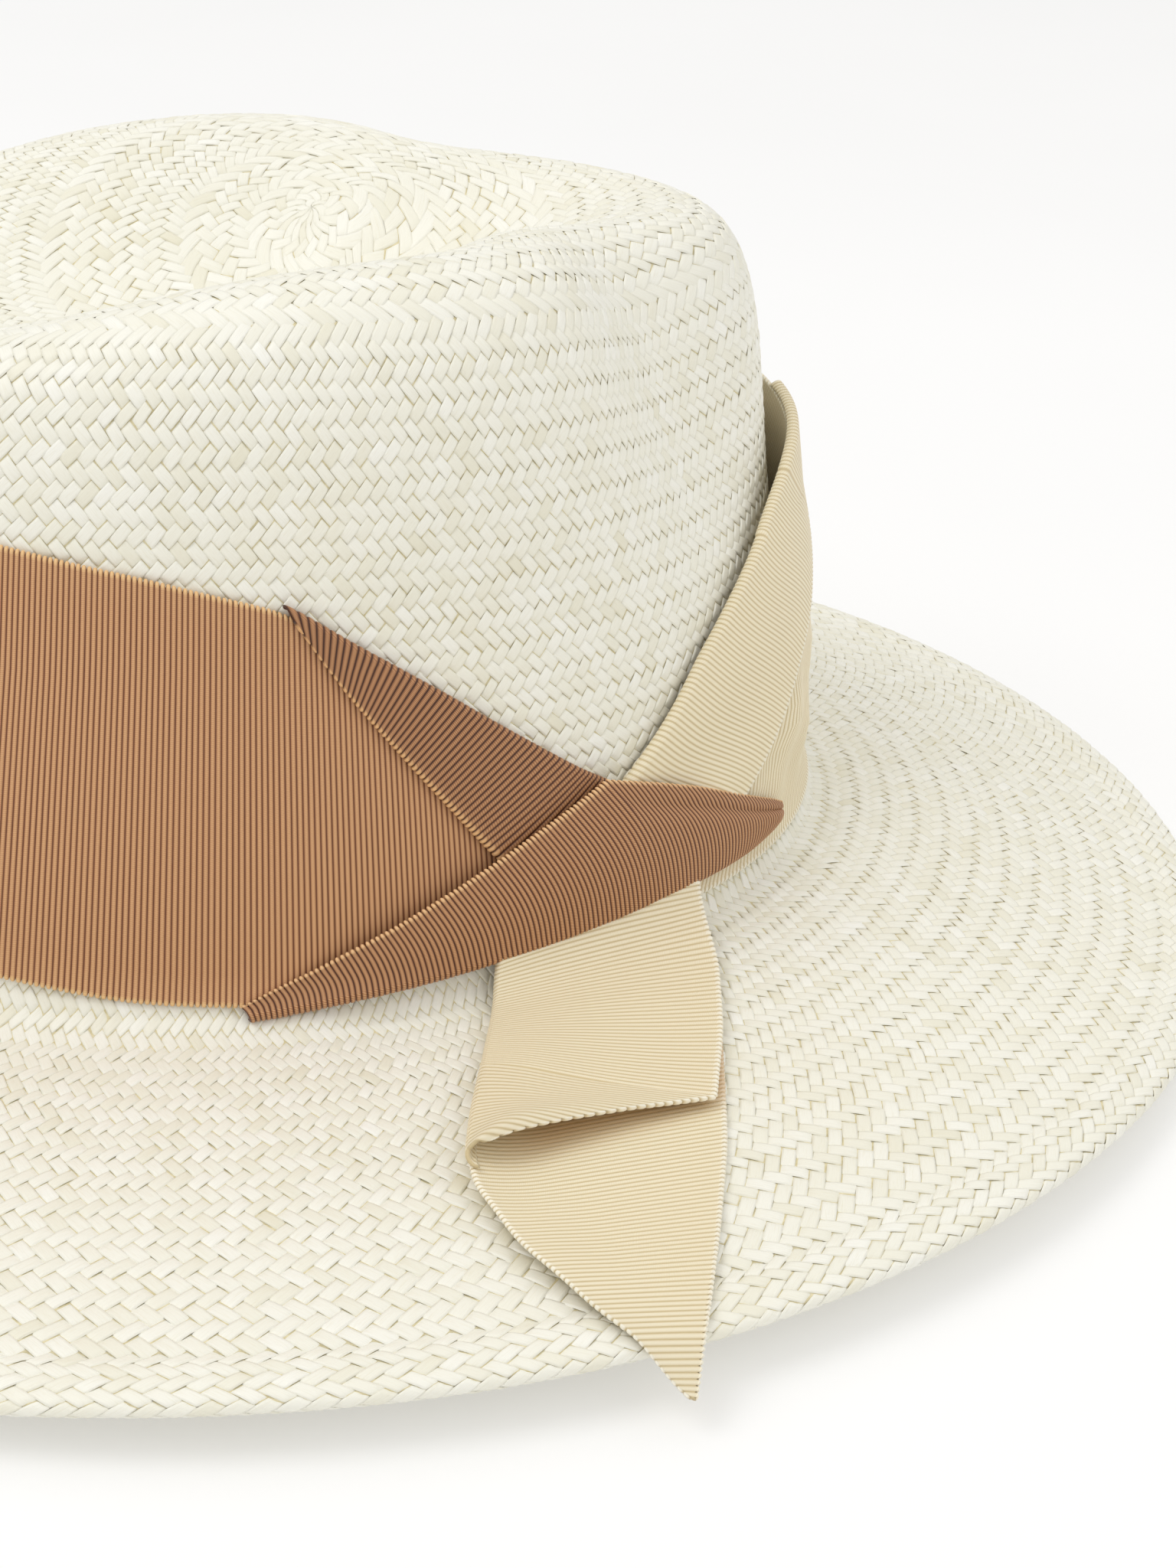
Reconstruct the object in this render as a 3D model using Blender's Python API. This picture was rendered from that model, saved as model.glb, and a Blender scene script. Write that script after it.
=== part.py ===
"""A woven straw hat with a creased crown, a wide brim and two knotted grosgrain ribbons.

Metres, +Z up. +X is the hat's front, -Y the side with the ribbon knot. The hat stands on its brim at Z = 0.
"""
import bmesh
import bpy
import numpy as np

# Driving dimensions, metres
BASE_HALF_LENGTH = 0.1015       # crown at its base, outside, front to back
BASE_HALF_WIDTH = 0.083
BRIM_HALF_LENGTH = 0.1765
BRIM_HALF_WIDTH = 0.1667
BRIM_INNER_HEIGHT = 0.016       # brim's upper face beside the crown
BRIM_SIDE_LIFT = 0.0072         # the sides curl up this much
EDGE_THICKNESS = 0.0024
FILLET = 0.008                  # bend between crown and brim
BASE_TAPER = 0.0095             # the wall leans in this much from its foot to WALL_HEIGHT
WALL_HEIGHT = 0.070
CREST_HEIGHT = 0.125            # top of the crown's rim
CREST_FRONT = 0.0750
CREST_BACK = 0.074
CREST_HALF_WIDTH = 0.051
SHOULDER_REACH = 0.018          # how far the rim rolls outwards before it turns down
CREST_FRONT_DROP = 0.0055
CREST_BACK_DROP = 0.017
PINCH_ANGLE = 0.62              # the two finger dents each side of the front, radians from the front
PINCH_DEPTH = 0.012
DENT_DEPTH = 0.024              # crease along the top of the crown
WEAVE_CENTRE = (0.019, 0.024)   # where the weave starts, on the side of the crease
STRAW = 0.0015                  # thickness of the woven straw
HEM_WIDTH = 0.009               # turned edge, in from the rim
HEM_CLEARANCE = 0.0002          # the hem's top stands this much above the brim's face
SEAM_HEIGHT = 0.024             # crown above, brim below
RIBBON = 0.0007                 # thickness of a grosgrain ribbon
GAP = 0.0003                    # clearance between touching pieces
ON_STRAW = 0.0005               # a ribbon's inner face above the straw
ON_BRIM = 0.0008                # the tail's lower face above the brim
FRONT_STAND_OFF = 0.0038        # the cream ribbon's greatest distance from the crown, at the front
CROSSING_LOW = 0.0016            # the crossing's inner face, at its left end
CROSSING_HIGH = 0.0036           # and over the folds
FLAP_LIFT = 0.0030              # the cut end of the tail's upper layer rises this much
TAIL_TIP = (0.006, -0.1742, 0.008)
TAIL_HINGE_LEFT = (0.012, -0.0925, 0.0172)
TAIL_HINGE_RIGHT = (0.0505, -0.0832, 0.0172)

# The tail's tip hangs past the brim, so the hat's axis stands a little off the middle of the whole.
AXIS_Y = -(TAIL_TIP[1] + BRIM_HALF_WIDTH) / 2

RING_STEPS = 48
DEGREE = np.pi / 180


# ---- The hat's surface -------------------------------------------------------------------------
def smooth_step(low, high, value):
    t = np.clip((value - low) / (high - low), 0, 1)
    return t * t * (3 - 2 * t)


def oval_radius(angle, half_length, half_width):
    across = np.hypot(half_width * np.cos(angle), half_length * np.sin(angle))
    return half_length * half_width / across


def angular_bump(angle, centre, width):
    away = np.angle(np.exp(1j * (angle - centre)))
    return np.exp(-(away / width) ** 2)


def pinches(angle, width):
    return angular_bump(angle, PINCH_ANGLE, width) + angular_bump(angle, -PINCH_ANGLE, width)


def crest(angle):
    """Radius and height of the crown's rim."""
    half_length = np.where(np.cos(angle) > 0, CREST_FRONT, CREST_BACK)
    radius = oval_radius(angle, half_length, CREST_HALF_WIDTH) - PINCH_DEPTH * pinches(angle, 0.34)
    drop = CREST_FRONT_DROP * angular_bump(angle, 0, 0.7) + CREST_BACK_DROP * angular_bump(angle, np.pi, 0.9)
    return radius, CREST_HEIGHT - drop


def top_point(angle, share):
    """Inside the rim: share runs from 0 at the weave's centre to 1 on the rim."""
    radius, _ = crest(angle)
    x = WEAVE_CENTRE[0] * (1 - share) + share * radius * np.cos(angle)
    y = WEAVE_CENTRE[1] * (1 - share) + share * radius * np.sin(angle)
    rim_radius, rim_height = crest(np.arctan2(y, x))
    spread = np.clip(np.hypot(x, y) / rim_radius, 0, 1)
    low = CREST_HEIGHT - DENT_DEPTH
    return np.stack([x, y, low + (rim_height - low) * smooth_step(0.12, 1, spread)], -1)


def edge_height(angle):
    return BRIM_SIDE_LIFT * smooth_step(0.42, 1.0, np.abs(np.sin(angle)))


def profile_curves(angle):
    """Four Bezier curves of (radius, height), from the rim down to the brim's edge."""
    rim, rim_height = crest(angle)
    base = oval_radius(angle, BASE_HALF_LENGTH, BASE_HALF_WIDTH)
    edge = oval_radius(angle, BRIM_HALF_LENGTH, BRIM_HALF_WIDTH)
    lean = BASE_TAPER / (WALL_HEIGHT - SEAM_HEIGHT)
    dents = pinches(angle, 0.32)
    front = angular_bump(angle, 0, 0.6)
    wall = base - BASE_TAPER * (1 - 0.25 * front) - 0.002 * dents
    shoulder = WALL_HEIGHT + 0.030 - 0.006 * dents
    edge_top = edge_height(angle) + EDGE_THICKNESS
    shoulder_radius = wall - lean * (shoulder - WALL_HEIGHT) * (1 - 0.5 * front) - 0.009 * dents + 0.0015
    inner = BRIM_INNER_HEIGHT
    return [
        [(rim, rim_height), (rim + SHOULDER_REACH - 0.003 * dents, rim_height),
         (shoulder_radius, shoulder), (wall, WALL_HEIGHT)],
        [(wall, WALL_HEIGHT), (wall + lean * 0.014 + 0.002 * dents, WALL_HEIGHT - 0.014),
         (base - lean * 0.010, SEAM_HEIGHT + 0.010), (base, SEAM_HEIGHT)],
        [(base, SEAM_HEIGHT), (base + lean * 0.55 * FILLET, SEAM_HEIGHT - 0.55 * FILLET),
         (base + 0.45 * FILLET, inner), (base + FILLET, inner - 0.0003)],
        [(base + FILLET, inner - 0.0003), (base + FILLET + 0.022, inner - 0.0012),
         (edge - 0.025, edge_top + 0.003), (edge, edge_top)],
    ]


def hat_point(angle, station):
    """Point on the straw's outer face. Stations: 0 weave centre, 1 rim, 2 wall, 3 seam, 4 brim, 5 edge."""
    angle, station = np.broadcast_arrays(np.asarray(angle, float), np.asarray(station, float))
    point = top_point(angle, np.clip(station, 0, 1))
    for start, curve in enumerate(profile_curves(angle), start=1):
        t = np.clip(station - start, 0, 1)
        weights = [(1 - t) ** 3, 3 * t * (1 - t) ** 2, 3 * t * t * (1 - t), t ** 3]
        radius = sum(weight * pair[0] for weight, pair in zip(weights, curve))
        height = sum(weight * pair[1] for weight, pair in zip(weights, curve))
        on_curve = np.stack([radius * np.cos(angle), radius * np.sin(angle), height], -1)
        point = np.where((station > start)[..., None], on_curve, point)
    return point


def offset_point(angle, station, offset):
    """Point at a distance from the straw's outer face, positive outwards."""
    step = 1e-4
    station = np.clip(station, 0.03, 5 - step)
    along = hat_point(angle, station + step) - hat_point(angle, station - step)
    around = hat_point(angle + step, station) - hat_point(angle - step, station)
    normal = np.cross(along, around)
    normal /= np.linalg.norm(normal, axis=-1, keepdims=True)
    return hat_point(angle, station) + normal * np.asarray(offset)[..., None]


def wall_station(angle, height):
    """Station on the wall or the bend at a height, by halving."""
    low = np.full(np.broadcast(angle, height).shape, 1.0)
    high = np.full(low.shape, 4.0)
    for _ in range(30):
        middle = (low + high) / 2
        above = hat_point(angle, middle)[..., 2] > height
        low = np.where(above, middle, low)
        high = np.where(above, high, middle)
    return (low + high) / 2


def on_wall(angle, height, offset):
    return offset_point(angle, wall_station(angle, height), offset)


def brim_station(angle, radius):
    """Station on the bend or the brim at a distance from the hat's axis, by halving."""
    low = np.full(np.broadcast(angle, radius).shape, 3.0)
    high = np.full(low.shape, 5.0)
    for _ in range(30):
        middle = (low + high) / 2
        inside = np.linalg.norm(hat_point(angle, middle)[..., :2], axis=-1) < radius
        low = np.where(inside, middle, low)
        high = np.where(inside, high, middle)
    return (low + high) / 2


def on_brim(plan, offset):
    """Point above the brim at a plan position; past the edge it carries on downwards."""
    angle = np.arctan2(plan[..., 1], plan[..., 0])
    radius = np.linalg.norm(plan, axis=-1)
    edge = oval_radius(angle, BRIM_HALF_LENGTH, BRIM_HALF_WIDTH)
    point = offset_point(angle, brim_station(angle, np.minimum(radius, edge)), 0.0)
    past = np.clip(radius - edge, 0, None)
    height = point[..., 2] + offset - 0.25 * past
    return np.concatenate([plan, height[..., None]], -1)


# ---- Building solids ---------------------------------------------------------------------------
def make_material(name, colour, roughness):
    material = bpy.data.materials.get(name) or bpy.data.materials.new(name)
    material.use_nodes = True
    shader = material.node_tree.nodes["Principled BSDF"]
    shader.inputs["Base Color"].default_value = (*colour, 1)
    shader.inputs["Roughness"].default_value = roughness
    shader.inputs["Metallic"].default_value = 0.0
    return material


def add_object(name, vertices, faces, material, smooth=True):
    """One named object from vertices about the hat's axis, its faces turned outwards."""
    mesh = bpy.data.meshes.new(name)
    shift = np.array([0, AXIS_Y, 0])
    mesh.from_pydata([tuple(vertex + shift) for vertex in vertices], [], faces)
    solid = bmesh.new()
    solid.from_mesh(mesh)
    bmesh.ops.recalc_face_normals(solid, faces=solid.faces)
    solid.to_mesh(mesh)
    solid.free()
    mesh.materials.append(material)
    if smooth:
        mesh.shade_smooth()
        mesh.set_sharp_from_angle(angle=40 * DEGREE)
    item = bpy.data.objects.new(name, mesh)
    bpy.context.collection.objects.link(item)
    return item


def ring_faces(rows, columns, first=0):
    """Quads of a grid whose columns close into a ring."""
    faces = []
    for row in range(rows - 1):
        for column in range(columns):
            after = (column + 1) % columns
            start = first + row * columns
            faces.append((start + column, start + after, start + columns + after, start + columns + column))
    return faces


def ring_section(name, section, material):
    """Closed ring: section is a list of rows of points, joined last to first."""
    rows = len(section)
    columns = section[0].shape[0]
    faces = ring_faces(rows, columns)
    last = (rows - 1) * columns
    for column in range(columns):
        after = (column + 1) % columns
        faces.append((last + column, last + after, after, column))
    return add_object(name, np.concatenate(section), faces, material)


def sheet_faces(rows, columns, first=0):
    return [(first + r * columns + c, first + r * columns + c + 1,
             first + (r + 1) * columns + c + 1, first + (r + 1) * columns + c)
            for r in range(rows - 1) for c in range(columns - 1)]


def plate(name, upper, lower, material):
    """Closed thin solid between two grids of points."""
    vertices, faces = plate_mesh(upper, lower)
    return add_object(name, vertices, faces, material)


def plate_mesh(upper, lower, first=0):
    rows, columns = upper.shape[:2]
    count = rows * columns
    faces = sheet_faces(rows, columns, first) + sheet_faces(rows, columns, first + count)
    border = [c for c in range(columns)]
    border += [r * columns + columns - 1 for r in range(1, rows)]
    border += [(rows - 1) * columns + c for c in range(columns - 2, -1, -1)]
    border += [r * columns for r in range(rows - 2, 0, -1)]
    for start, end in zip(border, border[1:] + border[:1]):
        faces.append((first + start, first + end, first + count + end, first + count + start))
    return np.concatenate([upper.reshape(-1, 3), lower.reshape(-1, 3)]), faces


def along(points, share):
    """Point at a share of the way along a list of corners, spaced by their index."""
    corners = np.array(points, float)
    position = np.asarray(share) * (len(corners) - 1)
    index = np.clip(position.astype(int), 0, len(corners) - 2)
    part = (position - index)[..., None]
    return corners[index] * (1 - part) + corners[index + 1] * part


def ribbon_patch(name, upper_edge, lower_edge, offset, steps, material):
    """Ribbon on the wall between two edges of (degrees, height), offset a function of both."""
    across, share = np.meshgrid(np.linspace(0, 1, steps[1]), np.linspace(0, 1, steps[0]))
    top = along(upper_edge, share)
    bottom = along(lower_edge, share)
    place = bottom + (top - bottom) * across[..., None]
    angle = place[..., 0] * DEGREE
    lift = offset(place[..., 0], place[..., 1])
    outer = on_wall(angle, place[..., 1], lift + RIBBON)
    inner = on_wall(angle, place[..., 1], lift)
    return plate(name, outer, inner, material)


# ---- Straw -------------------------------------------------------------------------------------
def ring_angles():
    return np.arange(RING_STEPS) * 2 * np.pi / RING_STEPS


def straw_crown(material):
    """Dome from the weave's centre down to the seam, open below."""
    angles = ring_angles()
    stations = np.concatenate([np.linspace(0.2, 1, 5), np.linspace(1.15, 2, 6), [2.34, 2.67, 2.97]])
    outer = [offset_point(angles, station, 0.0) for station in stations]
    inner = [offset_point(angles, station, -STRAW) for station in stations]
    top = hat_point(0.0, 0.0)
    vertices = np.concatenate([[top], *outer, [top - [0, 0, STRAW]], *inner])
    rows = len(stations)
    under = 1 + rows * RING_STEPS
    faces = ring_faces(rows, RING_STEPS, 1) + ring_faces(rows, RING_STEPS, under + 1)
    foot = 1 + (rows - 1) * RING_STEPS
    inner_foot = under + foot
    for column in range(RING_STEPS):
        after = (column + 1) % RING_STEPS
        faces.append((0, 1 + column, 1 + after))
        faces.append((under, under + 1 + column, under + 1 + after))
        faces.append((foot + column, foot + after, inner_foot + after, inner_foot + column))
    return add_object("straw_crown", vertices, faces, material)


def hem_start(angles):
    """Station where the hem begins."""
    edge = oval_radius(angles, BRIM_HALF_LENGTH, BRIM_HALF_WIDTH)
    return brim_station(angles, edge - HEM_WIDTH)


def straw_brim(material):
    angles = ring_angles()
    last = hem_start(angles)
    outer = []
    inner = []
    for share in (0, 0.12, 0.25, 0.40, 0.58, 0.78, 1.0):
        station = 3.03 + share * (last - 3.03)
        outer.append(offset_point(angles, station, 0.0))
        inner.append(offset_point(angles, station, -STRAW))
    return ring_section("straw_brim", outer + inner[::-1], material)


def brim_hem(material):
    """Turned edge: its underside is level all round each contact."""
    angles = ring_angles()
    out = np.stack([np.cos(angles), np.sin(angles), 0 * angles], -1)
    edge = oval_radius(angles, BRIM_HALF_LENGTH, BRIM_HALF_WIDTH)
    base = edge_height(angles)
    start = brim_station(angles, edge - HEM_WIDTH + GAP)
    middle = brim_station(angles, edge - HEM_WIDTH / 2)
    near_edge = brim_station(angles, edge - 0.0016)

    def row(inset, height):
        return out * (edge - inset)[:, None] + np.stack([0 * base, 0 * base, base + height], -1)

    section = [
        offset_point(angles, start, HEM_CLEARANCE),
        offset_point(angles, middle, HEM_CLEARANCE),
        offset_point(angles, near_edge, 0.0),
        row(0 * base + 0.0003, 0.0019),
        row(0 * base, 0.0012),
        row(0 * base + 0.0003, 0.0005),
        row(0 * base + 0.0014, 0.0),
        row(0 * base + HEM_WIDTH - 0.0022, 0.0),
        row(0 * base + HEM_WIDTH - GAP, 0.0006),
    ]
    return ring_section("brim_hem", section, material)


# ---- Ribbons -----------------------------------------------------------------------------------
def tan_offset(degrees, height):
    """On the straw, then over the cream ribbon's end at the join."""
    return ON_STRAW + (RIBBON + GAP + 0.0002) * smooth_step(252, 259, -degrees) + 0 * height


def tan_band(material):
    """Round the wearer's right side and the back, from the knot to the join on the far side."""
    upper = [(-64.5, 0.0445), (-84, 0.062), (-103, 0.0795), (-119, 0.0845), (-135, 0.0885), (-165, 0.092),
             (-195, 0.092), (-225, 0.090), (-266, 0.0872)]
    lower = [(-66, 0.0400), (-87, 0.0290), (-107, 0.0190), (-121, 0.0205), (-135, 0.0235), (-165, 0.0265),
             (-195, 0.0265), (-225, 0.0245), (-266, 0.0212)]
    return ribbon_patch("tan_band", upper, lower, tan_offset, (53, 5), material)


def tan_upper_fold(material):
    """Corner folded down over the band."""
    upper = [(-66, 0.0455), (-84.5, 0.0635), (-102.5, 0.0795)]
    lower = [(-70, 0.0415), (-81, 0.0405), (-101.5, 0.0775)]

    def offset(degrees, height):
        return ON_STRAW + RIBBON + GAP + 0 * height

    return ribbon_patch("tan_upper_fold", upper, lower, offset, (11, 4), material)


def crossing_offset(degrees, height):
    """Close to the band at its left end, lifted where it crosses the folds and the cream ribbon."""
    return CROSSING_LOW + (CROSSING_HIGH - CROSSING_LOW) * smooth_step(-106, -92, degrees) + 0 * height


def tan_crossing(material):
    upper = [(-107, 0.0205), (-86, 0.0325), (-65, 0.0440), (-52, 0.0375), (-42, 0.0305), (-34.5, 0.0235)]
    lower = [(-107, 0.0193), (-86, 0.0200), (-70, 0.0205), (-56, 0.0200), (-45, 0.0198), (-35, 0.0205)]
    return ribbon_patch("tan_crossing", upper, lower, crossing_offset, (21, 5), material)


def front_stand_off(degrees, height):
    """The cream ribbon stands off the crown across the front."""
    front = np.exp(-((degrees + 4) / 34) ** 2)
    return ON_STRAW + FRONT_STAND_OFF * front * smooth_step(0.018, 0.045, height)


def cream_band(material):
    """Round the front and the far side, from the knot to the join."""
    upper = [(-63, 0.0425), (-47, 0.058), (-32, 0.0686), (-18, 0.0785), (0, 0.0845), (20, 0.0870),
             (45, 0.0880), (70, 0.0880), (98, 0.0875)]
    lower = [(-64, 0.0205), (-52, 0.0195), (-40, 0.0190), (-22, 0.0185), (0, 0.0185), (20, 0.0190),
             (45, 0.0200), (70, 0.0210), (98, 0.0215)]
    return ribbon_patch("cream_band", upper, lower, front_stand_off, (41, 5), material)


def cream_upper_fold(material):
    """The front band's upper edge turned down along a slanting fold."""
    upper = [(-61, 0.0425), (-47, 0.0575), (-32, 0.0681), (-18, 0.0780), (-4, 0.0830)]
    lower = [(-58, 0.0385), (-43, 0.0340), (-24, 0.0500), (-12, 0.0650), (-3, 0.0790)]

    def offset(degrees, height):
        return front_stand_off(degrees, height) + RIBBON + GAP

    return ribbon_patch("cream_upper_fold", upper, lower, offset, (17, 4), material)


# ---- The tail ----------------------------------------------------------------------------------
TAIL_LEFT = [(0.0120, -0.0935), (0.0020, -0.1110), (-0.0088, -0.1305)]
TAIL_RIGHT = [(0.0510, -0.0842), (0.0445, -0.1030), (0.0350, -0.1220)]


def cream_tail(material):
    """Layer on the brim, cut on a slant to a point that hangs past the edge."""
    left = TAIL_LEFT + [(-0.0075, -0.1455), (-0.0022, -0.1595), (0.0052, -0.1738)]
    right = TAIL_RIGHT + [(0.0270, -0.1390), (0.0175, -0.1560), TAIL_TIP[:2]]
    share, across = np.meshgrid(np.linspace(0, 1, 16), np.linspace(0, 1, 5), indexing="ij")
    plan = along(left, share) * (1 - across[..., None]) + along(right, share) * across[..., None]
    lift = ON_BRIM + 0.0004 * smooth_step(0.9, 1.0, share)
    return plate("cream_tail", on_brim(plan, lift + RIBBON), on_brim(plan, lift), material)


def cream_tail_fold(material):
    """The ribbon's other half, folded over from the left, its cut edge lifted."""
    left = [(0.0125, -0.0945), (0.0025, -0.1110), (-0.0078, -0.1250)]
    right = [(0.0505, -0.0852), (0.0440, -0.1030), (0.0340, -0.1220)]
    share, across = np.meshgrid(np.linspace(0, 1, 9), np.linspace(0, 1, 5), indexing="ij")
    plan = along(left, share) * (1 - across[..., None]) + along(right, share) * across[..., None]
    lift = ON_BRIM + RIBBON + GAP + FLAP_LIFT * smooth_step(0.3, 1.0, share) * (1 - 0.55 * across)
    return plate("cream_tail_fold", on_brim(plan, lift + RIBBON), on_brim(plan, lift), material)


def tail_pivot(pieces):
    """Empty on the line where the tail leaves the knot; the tail lifts about it."""
    pivot = bpy.data.objects.new("tail_lift_pivot", None)
    bpy.context.collection.objects.link(pivot)
    middle = (np.array(TAIL_HINGE_LEFT) + np.array(TAIL_HINGE_RIGHT)) / 2 + [0, AXIS_Y, 0]
    pivot.location = tuple(middle)
    bpy.context.view_layer.update()
    for piece in pieces:
        piece.parent = pivot
        piece.matrix_parent_inverse = pivot.matrix_world.inverted()


# ---- Inside ------------------------------------------------------------------------------------
SWEAT_LOW = 0.0215
SWEAT_HIGH = 0.0530
SWEAT_OFFSET = -(STRAW + GAP + 0.0002)
SWEAT_THICKNESS = 0.0010
INSIDE = SWEAT_OFFSET - SWEAT_THICKNESS - 0.0006       # just inside the sweatband
ON_RIBBON = ON_STRAW + RIBBON + GAP + 0.0001             # just outside a ribbon that lies on the straw
ON_JOIN = ON_RIBBON + RIBBON + GAP + 0.0002            # just outside the overlap of the two ribbons


def sweatband(material):
    angles = ring_angles()
    heights = np.linspace(SWEAT_HIGH, SWEAT_LOW, 4)
    outer = [on_wall(angles, height, SWEAT_OFFSET) for height in heights]
    inner = [on_wall(angles, height, SWEAT_OFFSET - SWEAT_THICKNESS) for height in heights]
    return ring_section("sweatband", outer + inner[::-1], material)


def band_ring(name, height, tall, offset, thick, material):
    """Thin closed ring on the wall, such as a line of thread."""
    angles = ring_angles()
    section = [on_wall(angles, height + tall / 2, offset), on_wall(angles, height + tall / 2, offset + thick),
               on_wall(angles, height - tall / 2, offset + thick), on_wall(angles, height - tall / 2, offset)]
    return ring_section(name, section, material)


def wall_plate(name, outline, offset, thick, material):
    """Thin plate on the wall: outline is a list of (degrees, low height, high height)."""
    degrees, low, high = np.array(outline, float).T
    heights = np.stack([low, high], 1)
    angle = (degrees * DEGREE)[:, None]
    outer = on_wall(angle, heights, offset + thick)
    inner = on_wall(angle, heights, offset)
    return plate(name, outer, inner, material)


def sweatband_thread(material):
    """The line of stitching that holds the sweatband, as one thread."""
    band_ring("sweatband_thread", SWEAT_LOW + 0.003, 0.0007, INSIDE, -0.0004, material)


def sweatband_bow(material):
    """Flat bow at the back: two loops that narrow to the wrap between them."""
    middle = SWEAT_LOW + 0.011
    widths = [(-7.5, 0.0034), (-4.5, 0.0038), (-1.1, 0.0016), (1.1, 0.0016), (4.5, 0.0038), (7.5, 0.0034)]
    outline = [(180 + step, middle - half, middle + half) for step, half in widths]
    wall_plate("sweatband_bow", outline, INSIDE, -0.0010, material)


def size_tab(material):
    """Small blank tab beside the sweatband's join."""
    outline = [(degrees, SWEAT_LOW + 0.008, SWEAT_LOW + 0.020) for degrees in (193, 197, 201)]
    wall_plate("size_tab", outline, INSIDE, -0.0004, material)


def band_join_thread(name, degrees, material):
    """A column of stitches through both ribbons where they meet on the far side."""
    heights = np.linspace(0.0265, 0.0825, 9)
    angle = np.array([degrees - 0.25, degrees + 0.25]) * DEGREE
    grid_angle, grid_height = np.meshgrid(angle, heights)
    outer = on_wall(grid_angle, grid_height, ON_JOIN + 0.0004)
    inner = on_wall(grid_angle, grid_height, ON_JOIN)
    plate(name, outer, inner, material)


def ribbon_tacks(material):
    """Small stitches that hold the ribbons to the straw, each its own piece."""
    places = [(-140, 0.0855), (-172, 0.0895), (-205, 0.0885), (-238, 0.0855), (-150, 0.0275), (-205, 0.0290),
              (60, 0.0855), (60, 0.0230)]
    for number, (degrees, height) in enumerate(places, start=1):
        outline = [(degrees + step, height - 0.0012, height + 0.0012) for step in (-0.25, 0.25)]
        wall_plate(f"ribbon_tack_{number}", outline, ON_RIBBON, 0.0004, material)


def main():
    for item in list(bpy.data.objects):
        bpy.data.objects.remove(item)
    straw = make_material("straw", (0.80, 0.77, 0.66), 0.50)
    hem = make_material("straw_hem", (0.80, 0.77, 0.66), 0.50)
    tan = make_material("tan_grosgrain", (0.43, 0.19, 0.085), 0.60)
    cream = make_material("cream_grosgrain", (0.78, 0.68, 0.50), 0.60)
    leather = make_material("sweatband_leather", (0.62, 0.45, 0.30), 0.55)
    thread = make_material("thread", (0.72, 0.60, 0.42), 0.70)
    card = make_material("blank_tab", (0.80, 0.76, 0.68), 0.80)
    straw_crown(straw)
    straw_brim(straw)
    brim_hem(hem)
    tan_band(tan)
    tan_upper_fold(tan)
    tan_crossing(tan)
    cream_band(cream)
    cream_upper_fold(cream)
    tail_pivot([cream_tail(cream), cream_tail_fold(cream)])
    sweatband(leather)
    sweatband_thread(thread)
    sweatband_bow(tan)
    size_tab(card)
    band_join_thread("band_join_thread_front", 94.9, thread)
    band_join_thread("band_join_thread_back", 97.0, thread)
    ribbon_tacks(thread)


main()
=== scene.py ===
"""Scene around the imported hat: woven straw floats, ribbed grosgrain ribbons, sweatband, stage and camera.

Metres, +Z up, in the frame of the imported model. The shape functions repeat the CAD's formulas.
"""

import bpy
import numpy as np
from mathutils import Matrix


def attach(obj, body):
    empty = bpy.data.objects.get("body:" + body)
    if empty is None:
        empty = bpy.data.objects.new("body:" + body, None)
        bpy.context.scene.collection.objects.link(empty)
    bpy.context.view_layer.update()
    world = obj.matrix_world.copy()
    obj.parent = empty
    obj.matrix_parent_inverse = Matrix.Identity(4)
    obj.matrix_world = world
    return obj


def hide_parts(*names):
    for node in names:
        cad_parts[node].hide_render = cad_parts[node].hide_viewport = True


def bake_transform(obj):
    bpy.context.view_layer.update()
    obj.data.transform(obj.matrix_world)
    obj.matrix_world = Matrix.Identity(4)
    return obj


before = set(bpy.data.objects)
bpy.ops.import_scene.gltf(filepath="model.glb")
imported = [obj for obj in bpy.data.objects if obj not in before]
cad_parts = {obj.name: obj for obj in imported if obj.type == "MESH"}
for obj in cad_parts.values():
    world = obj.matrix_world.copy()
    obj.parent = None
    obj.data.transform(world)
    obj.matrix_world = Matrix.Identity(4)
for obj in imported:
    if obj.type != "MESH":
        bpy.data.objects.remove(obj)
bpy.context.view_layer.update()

# Driving dimensions, metres
BASE_HALF_LENGTH = 0.1015       # crown at its base, outside, front to back
BASE_HALF_WIDTH = 0.083
BRIM_HALF_LENGTH = 0.1765
BRIM_HALF_WIDTH = 0.1667
BRIM_INNER_HEIGHT = 0.016       # brim's upper face beside the crown
BRIM_SIDE_LIFT = 0.0072         # the sides curl up this much
EDGE_THICKNESS = 0.0024
FILLET = 0.008                  # bend between crown and brim
BASE_TAPER = 0.0095             # the wall leans in this much from its foot to WALL_HEIGHT
WALL_HEIGHT = 0.070
CREST_HEIGHT = 0.125            # top of the crown's rim
CREST_FRONT = 0.0750
CREST_BACK = 0.074
CREST_HALF_WIDTH = 0.051
SHOULDER_REACH = 0.018          # how far the rim rolls outwards before it turns down
CREST_FRONT_DROP = 0.0055
CREST_BACK_DROP = 0.017
PINCH_ANGLE = 0.62              # the two finger dents each side of the front, radians from the front
PINCH_DEPTH = 0.012
DENT_DEPTH = 0.024              # crease along the top of the crown
WEAVE_CENTRE = (0.019, 0.024)   # where the weave starts, on the side of the crease
STRAW = 0.0015                  # thickness of the woven straw
HEM_WIDTH = 0.009               # turned edge, in from the rim
SEAM_HEIGHT = 0.024             # crown above, brim below
RIBBON = 0.0007                 # thickness of a grosgrain ribbon
GAP = 0.0003                    # clearance between touching pieces
ON_STRAW = 0.0005               # a ribbon's inner face above the straw
ON_BRIM = 0.0008                # the tail's lower face above the brim
FRONT_STAND_OFF = 0.0038        # the cream ribbon's greatest distance from the crown, at the front
CROSSING_LOW = 0.0016            # the crossing's inner face, at its left end
CROSSING_HIGH = 0.0036           # and over the folds
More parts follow.
